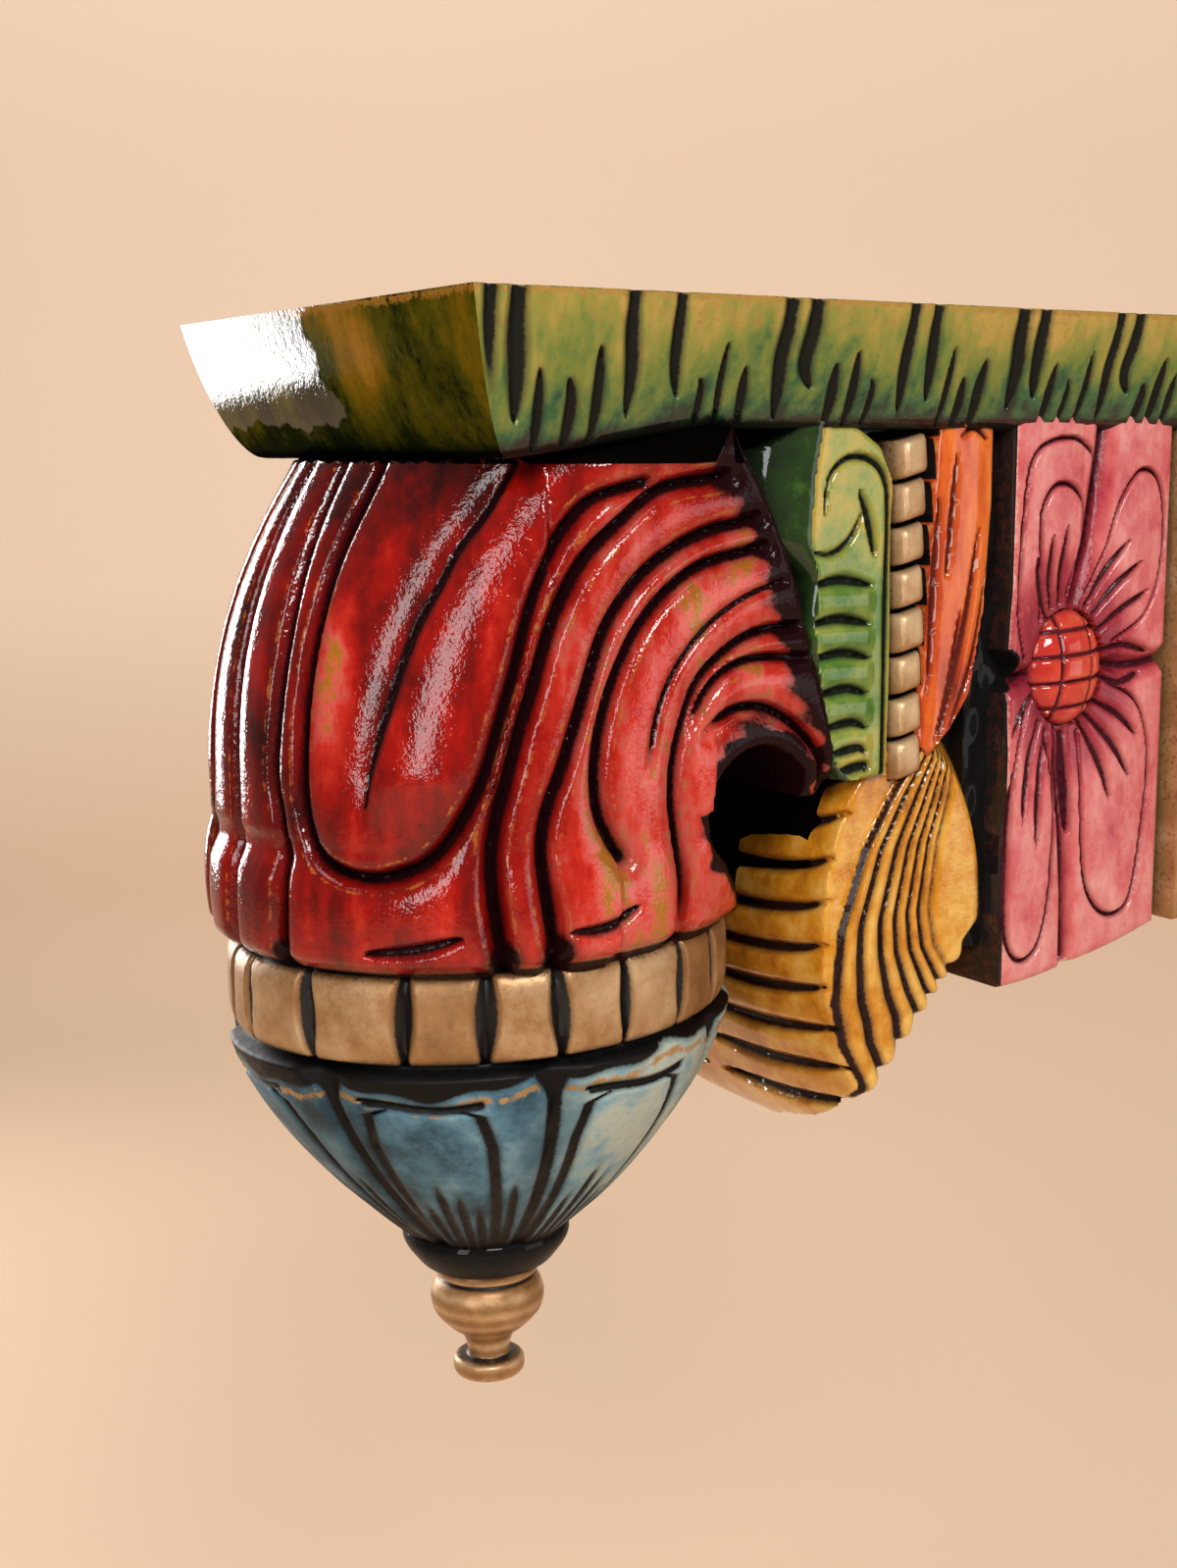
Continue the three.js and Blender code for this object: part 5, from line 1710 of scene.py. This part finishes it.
@dataclass
class Bud:
    """Turned bud under the scroll: a gold band, seven grooved petals, a black collar and a gold finial."""

    axis_y: float = 40.0
    top: float = -137.4
    lean: float = 1.0
    band: float = 20.0
    band_rise: float = 0.03
    band_radius: float = 58.3
    cone: float = 77.0
    collar_radius: float = 19.6
    fullness: float = 1.55
    petals: int = 7
    petal_turn: float = 29.6
    petal_twist: float = 4.0
    gaps: tuple[tuple[float, float], ...] = (
        (1.0, 2.2), (22.0, 3.4), (45.5, 3.2), (63, 3.8), (79, 3.4), (94.5, 2.2), (111.5, 2.4), (127, 2.4),
        (147, 3.2), (168, 2.4), (187, 3.4), (204, 2.6), (222, 2.2), (241, 3.4), (258, 2.8), (276, 2.2),
        (295, 3.4), (312, 2.6), (331, 3.0), (349, 2.2),
    )
    flutes: tuple[tuple[float, float], ...] = (
        (-13.0, 0.62), (-7.0, 0.5), (-1.0, 0.56), (5.0, 0.64), (17.0, 0.5))
    flute_depth: float = 1.3
    outline_depth: float = 1.5
    parting_depth: float = 2.4
    pad_swell: float = 3.2
    pad_cut: float = 2.6
    rim_in: float = 9.0
    inner_shift: float = 4.2
    sides: int = 350
    band_sides: int = 720
    small_sides: int = 96
    finial_drop: float = 7.0
    finial_profile: Path = (
        (8, -1), (11.2, 0.5), (12.3, 2.4), (12.2, 3.8), (11.2, 4.6), (12.6, 6), (13.7, 9.5), (12.9, 13.4),
        (9.6, 17.2), (6.3, 20), (5.2, 23.4), (5.3, 25.2), (7.6, 25.6), (8.5, 26.6), (8.5, 28.8), (7.4, 30),
        (4.0, 30.6),
    )

    def radius(self, z: Array) -> Array:
        """Plain profile of the cone, by the height under the band's top."""
        share = np.clip((-z - self.band) / (self.cone - self.band), 0, 1)
        return self.band_radius - 0.3 + (self.collar_radius - 0.6 - self.band_radius) * share**self.fullness

    def placed(self, turn: Array, radius: Array, z: Array, *guides: Array) -> Carving:
        """Turns grids of radius and height about the leaning axis.

        Args:
            turn: bearings from the front, in degrees.
            radius: radius on the grid.
            z: height on the grid.
            guides: groove, edge and tone on the grid.

        Returns:
            The closed turning.
        """
        angle, lean = np.radians(turn), math.radians(self.lean)
        x, y = radius * np.sin(angle), -radius * np.cos(angle)
        low = np.clip((z + self.cone) / (self.cone - self.band), 0, 1)
        z = z + self.band_rise * (0.5 * x + 0.9 * y) * low
        ahead = y * math.cos(lean) - z * math.sin(lean) + self.axis_y
        up = y * math.sin(lean) + z * math.cos(lean) + self.top
        number = np.arange(radius.size).reshape(radius.shape)
        faces = grid_faces(number, np.roll(number, -1, axis=0))
        groups = [faces, number[None, :, 0], number[None, ::-1, -1]]
        layers = [np.broadcast_to(guide, radius.shape).reshape(-1) for guide in guides]
        return Carving(np.stack([x, ahead, up], -1).reshape(-1, 3), groups, *layers, np.zeros(len(faces) + 2))

    def gold_band(self) -> bpy.types.Object:
        """Band of gold pads, parted by black gouge cuts.

        Returns:
            The band.
        """
        turn = np.linspace(0, 360, self.band_sides, endpoint=False)[:, None]
        depth = np.concatenate([[0], np.linspace(0, 1, 36), [1]])[None, :]
        z = -self.band * depth + 0 * turn
        cut = np.zeros(z.shape)
        for index, (gap, wide) in enumerate(self.gaps):
            away = (turn - gap + 180) % 360 - 180
            slant = 1.2 * math.sin(index * 1.9) * (depth - 0.5)
            half = wide * (0.45 + 0.55 * np.sin(np.pi * np.clip(depth * 1.1, 0, 1)))
            cut = np.maximum(cut, np.clip(1 - np.abs(away - slant) / half, 0, 1))
        ripple = 0.5 * np.sin(np.radians(turn * 5)) + 0.3 * np.sin(np.radians(turn * 11 + 40))
        swell = np.sqrt(np.clip(1 - (2 * depth - 1) ** 4, 0, 1))
        radius = self.band_radius - self.pad_swell * (1 - swell) + 0.25 * ripple - self.pad_cut * cut
        radius[:, [0, -1]] = self.band_radius - self.rim_in
        rims = np.maximum(smooth(0.05, 0.0, depth), smooth(0.94, 1.0, depth))
        groove = np.maximum(np.clip(cut * 1.5, 0, 1), rims)
        edge = np.maximum(smooth(0.2, 0.02, depth), smooth(0.85, 1.0, depth))
        edge = edge + np.clip(1 - np.abs(cut - 0.1) * 6, 0, 1) * 0.5
        band = self.placed(turn, radius, z, groove, edge, 0.55 + 0.25 * ripple)
        return band.piece("bud_gold_band", [GOLD_PAINT.material()])

    def petal_cone(self) -> bpy.types.Object:
        """Cone of petals, each with an inner outline and flutes that run into the black collar.

        Returns:
            The cone.
        """
        turn = np.linspace(0, 360, self.sides, endpoint=False)[:, None]
        rows = np.linspace(0, 1, 160)[None, :]
        z = -self.band - (self.cone - self.band) * rows + 0 * turn
        plain = self.radius(z)
        span = 360 / self.petals
        local = (turn - self.petal_turn + self.petal_twist * (1 - rows) ** 1.5) % span - span / 2
        to_mm = np.radians(1) * plain
        away = (span / 2 - np.abs(local)) * to_mm
        opening = 4.0 * smooth(0.16, 0.0, rows)
        parting = np.clip(1 - (away - opening * 0.4) / (2.9 + opening), 0, 1)
        half = np.interp(rows, [0.0, 0.12, 0.2, 0.35, 0.7, 1.0], [0.0, 0.0, 13.0, 15.0, 15.4, 15.8])
        inner = np.abs(local + self.inner_shift)
        outline = np.clip(1 - np.abs(inner - half) * to_mm / 2.2, 0, 1) * smooth(0.13, 0.2, rows)
        from_lintel = np.abs(rows - 0.155 - 0.012 * np.cos(local * 0.2)) * (self.cone - self.band)
        lintel = np.clip(1 - from_lintel / 1.8, 0, 1) * (inner < 14)
        flutes = np.zeros(z.shape)
        for at, start in self.flutes:
            flute = np.clip(1 - np.abs(local - at) * to_mm / 1.8, 0, 1)
            flutes = np.maximum(flutes, flute * smooth(start - 0.02, start + 0.16, rows))
        cut = np.maximum(np.maximum(parting, outline), np.maximum(lintel, flutes))
        belly = 1.3 * np.cos(np.radians(local * 3)) * (1 - rows)
        radius = plain + belly - self.parting_depth * parting - self.flute_depth * flutes
        radius = radius - self.outline_depth * np.maximum(outline, lintel)
        radius = radius - 4.0 * smooth(0.045, 0.0, rows)
        # Painted light and shade: lighter on the side towards the lamps; the black under the band is black
        # paint widened by painted shadow on the far side
        shade = smooth(50, 100, turn) * smooth(200, 150, turn)
        shade = shade + 0.5 * smooth(190, 260, turn) * smooth(350, 290, turn)
        ragged = 0.02 * np.sin(np.radians(turn * 9)) + 0.012 * np.sin(np.radians(turn * 23))
        ledge = 0.1 - 0.05 * shade + ragged
        black = np.maximum(smooth(0.03, -0.03, rows - ledge), smooth(0.82, 1.0, rows))
        groove = np.maximum(np.clip(cut * 1.2, 0, 1), black)
        # Painted shade in the creases beside the partings
        groove = np.maximum(groove, 0.3 * np.clip(1.3 - (span / 2 - np.abs(local)) / 9, 0, 1))
        edge = np.clip(1 - np.abs(rows - ledge - 0.045) / 0.05, 0, 1)
        edge = edge + 0.5 * np.clip(1 - np.abs(cut - 0.12) * 6, 0, 1)
        # Tone lighter on the lamp side as painted light, darker towards the collar
        tone = 0.32 + 0.12 * np.cos(np.radians(local * 3.5)) - 0.26 * smooth(0.4, 1.0, rows) + 0.58 * shade
        cone = self.placed(turn, radius, z, groove, edge, tone)
        return cone.piece("bud_petals", [BUD_BLUE.material()])

    def turning(
        self, name: str, profile: Path, finish: Paint, dark: Callable[[Array], Array]
    ) -> bpy.types.Object:
        """Turns a smooth profile on the axis.

        Args:
            name: the piece's name.
            profile: radius and depth, from the top down.
            finish: its paint.
            dark: darkness of the paint by the depth.

        Returns:
            The piece.
        """
        line = curve(profile, 5)
        turn = np.linspace(0, 360, self.small_sides, endpoint=False)[:, None]
        radius = line[None, :, 0] * (1 + 0.008 * np.sin(np.radians(turn * 3)))
        z = -line[None, :, 1] + 0 * turn
        turned = self.placed(turn, radius, z, dark(-z), np.array(0.4), 0.55 + 0.2 * np.sin(z * 1.7))
        return turned.piece(name, [finish.material()])

    def build(self) -> list[bpy.types.Object]:
        """Builds and dresses the bud's pieces.

        Returns:
            The band, petals, collar and finial.
        """
        foot, wide = self.cone, self.collar_radius
        collar = [
            (12, foot - 3), (wide - 1.2, foot - 2.4), (wide + 0.4, foot - 0.4), (wide, foot + 2),
            (wide - 2.2, foot + 5.2), (15.4, foot + 7.4), (13, foot + 8.4), (9, foot + 8.7),
        ]
        low = foot + self.finial_drop
        finial = [(radius, low + depth) for radius, depth in self.finial_profile]

        def necks(depth: Array) -> Array:
            """Dark rings where the finial is narrow."""
            upper, lower = [np.clip(1 - np.abs(depth - low - at) / 0.9, 0, 1) for at in (4.7, 25.3)]
            return np.maximum(upper, 0.8 * lower)

        return [
            self.gold_band(),
            self.petal_cone(),
            self.turning("bud_collar", collar, BLACK_GLOSS, np.ones_like),
            self.turning("bud_finial", finial, GOLD_PAINT, necks),
        ]


# Studio


@dataclass
class Studio:
    """Pale floor that sweeps up to a wall on the far side, soft boxes and the camera."""

    floor_z: float = -0.42
    radius: float = 2.6
    pale: str = "#dcc2aa"
    pale_low: str = "#ccae92"
    cloud_mm: float = 900.0
    air: str = "#fff1e0"
    air_strength: float = 0.14
    focal_px: float = 2100.0
    image_long_px: float = 1598.0
    azimuth: float = 58.318
    pitch: float = 9.099
    roll: float = 0.12
    camera_mm: Place = (416.04, -185.74, -31.23)
    sensor_mm: float = 36.0
    curl: float = 0.9
    wall_height: float = 2.4

    def sweep(self) -> None:
        """Floor whose rim curves up into a wall, far off behind the object."""
        turn = np.linspace(0, 2 * np.pi, 96, endpoint=False)[:, None]
        bend = np.linspace(0, np.pi / 2, 16)
        r = [0.01, *(self.radius - self.curl + self.curl * np.sin(bend)), self.radius]
        rise = np.array([0.0, *(self.curl - self.curl * np.cos(bend)), self.wall_height])
        from_back = np.abs((np.degrees(turn) - self.azimuth - 90 + 180) % 360 - 180)
        z = rise * smooth(44, 29, from_back) + self.floor_z
        points = np.stack([r * np.cos(turn), r * np.sin(turn), z], -1)
        number = np.arange(z.size).reshape(z.shape)
        faces = grid_faces(number, np.roll(number, -1, axis=0), turned=True)
        faces = [*faces[:, ::-1].tolist(), number[:, 0].tolist()]
        mesh = bpy.data.meshes.new("studio_floor")
        mesh.from_pydata(points.reshape(-1, 3).tolist(), [], faces)
        mesh.polygons.foreach_set("use_smooth", np.ones(len(faces), bool))
        mesh.materials.append(self.paper())
        floor = bpy.data.objects.new("studio_floor", mesh)
        bpy.context.scene.collection.objects.link(floor)

    def paper(self) -> bpy.types.Material:
        """Matt paper of the backdrop: soft and even, tinted a little darker on the floor as painted shade.

        Returns:
            The material.
        """
        material = bpy.data.materials.new("matt_backdrop_paper")
        material.use_nodes = True
        tree = material.node_tree
        shader = tree.nodes["Principled BSDF"]
        place = add_node(tree, "ShaderNodeTexCoord").outputs["Object"]
        level = add_node(tree, "ShaderNodeSeparateXYZ", i0=place).outputs["Z"]
        cloud = add_node(tree, "ShaderNodeTexNoise", Vector=place, Scale=per_metre(self.cloud_mm),
                         Detail=1.0).outputs[0]
        high = add_node(tree, "ShaderNodeMapRange", {"clamp": True}, i0=level, i1=self.floor_z + 0.02,
                        i2=self.floor_z + 0.3).outputs[0]
        mixed = add_node(tree, "ShaderNodeMath", {"operation": "MULTIPLY_ADD"}, i0=cloud, i1=0.1,
                         i2=high).outputs[0]
        tint = add_node(tree, "ShaderNodeMix", {"data_type": "RGBA"}, i0=mixed, i6=linear(self.pale_low),
                        i7=linear(self.pale)).outputs[2]
        tree.links.new(tint, shader.inputs["Base Color"])
        shader.inputs["Roughness"].default_value = 0.9
        return material

    @staticmethod
    def light(
        name: str, place: Place, size: tuple[float, float], power: float, spread: float = 180.0,
        target: Place = (0.0, -0.15, -0.02),
    ) -> None:
        """Adds a soft box.

        Args:
            name: its name.
            place: where it stands, in metres.
            size: its width and height, in metres.
            power: its power in watts.
            spread: angle that it lights, in degrees.
            target: where it faces, the object if not given.
        """
        lamp = bpy.data.lights.new(name, "AREA")
        lamp.shape = "RECTANGLE"
        lamp.size, lamp.size_y = size
        lamp.energy = power
        lamp.spread = math.radians(spread)
        thing = bpy.data.objects.new(name, lamp)
        thing.location = place
        way = np.array(target) - np.array(place)
        flat = math.hypot(way[0], way[1])
        turn = math.atan2(way[1], way[0]) - math.pi / 2
        thing.rotation_euler = (math.atan2(flat, -way[2]), 0.0, turn)
        bpy.context.scene.collection.objects.link(thing)

    def camera(self) -> None:
        """Camera at the photograph's place."""
        lens = bpy.data.cameras.new("camera")
        lens.sensor_fit = "AUTO"
        lens.sensor_width = self.sensor_mm
        lens.lens = self.sensor_mm * self.focal_px / self.image_long_px
        thing = bpy.data.objects.new("camera", lens)
        thing.location = to_row(np.array(self.camera_mm))
        thing.rotation_euler = [math.radians(turn) for turn in (90 - self.pitch, self.roll, self.azimuth)]
        bpy.context.scene.collection.objects.link(thing)
        bpy.context.scene.camera = thing

    def build(self) -> None:
        """Sets the floor, the lights and the camera."""
        self.sweep()
        self.light("key_box", (1.3, -0.5, 0.9), (0.5, 0.6), 20.0)
        self.light("left_box", (-1.18, -0.52, 0.17), (0.4, 0.8), 6.0, spread=120.0)
        self.light("front_box", (0.9, -1.6, 0.45), (0.45, 1.1), 10.0)
        self.light("side_box", (1.5, 1.0, 0.0), (0.9, 0.9), 4.0)
        self.light("top_box", (0.1, -0.4, 1.6), (0.9, 0.9), 8.0)
        self.light("backdrop_left", (-1.3, 0.2, 1.5), (0.8, 0.8), 20.0, target=(-2.2, 0.8, -0.3))
        self.light("backdrop_right", (-0.4, 1.1, 1.5), (0.8, 0.8), 15.0, target=(-1.2, 2.1, -0.1))
        world = bpy.data.worlds.new("studio_air")
        world.use_nodes = True
        air = world.node_tree.nodes["Background"]
        air.inputs["Color"].default_value = linear(self.air)
        air.inputs["Strength"].default_value = self.air_strength
        bpy.context.scene.world = world
        bpy.context.scene.view_settings.view_transform = "Standard"
        self.camera()


def take_place(piece: bpy.types.Object, node: Node) -> None:
    """Fixes a piece to the part.

    Args:
        piece: the piece, which rides on the part's one body.
        node: the solid that it stands for.
    """
    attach(piece, BODY)
    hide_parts(node.value)
    LOG.info("%s: %d faces", piece.name, len(piece.data.polygons))


def main() -> None:
    """Builds the bracket, the bud and the studio."""
    logging.basicConfig(level=logging.INFO, format="%(message)s")
    bracket = [
        Shelf().build(), Scroll().build(), Volute().build(), LeafPanel().build(), *BeadStrips().build(),
        FlowerBlock().build(), EndBlock().build(), BlackSpine().build(),
    ]
    for piece in bracket:
        take_place(piece, Node.BRACKET)
    for piece in Bud().build():
        take_place(piece, Node.BUD)
    Studio().build()


if __name__ == "__main__":
    main()
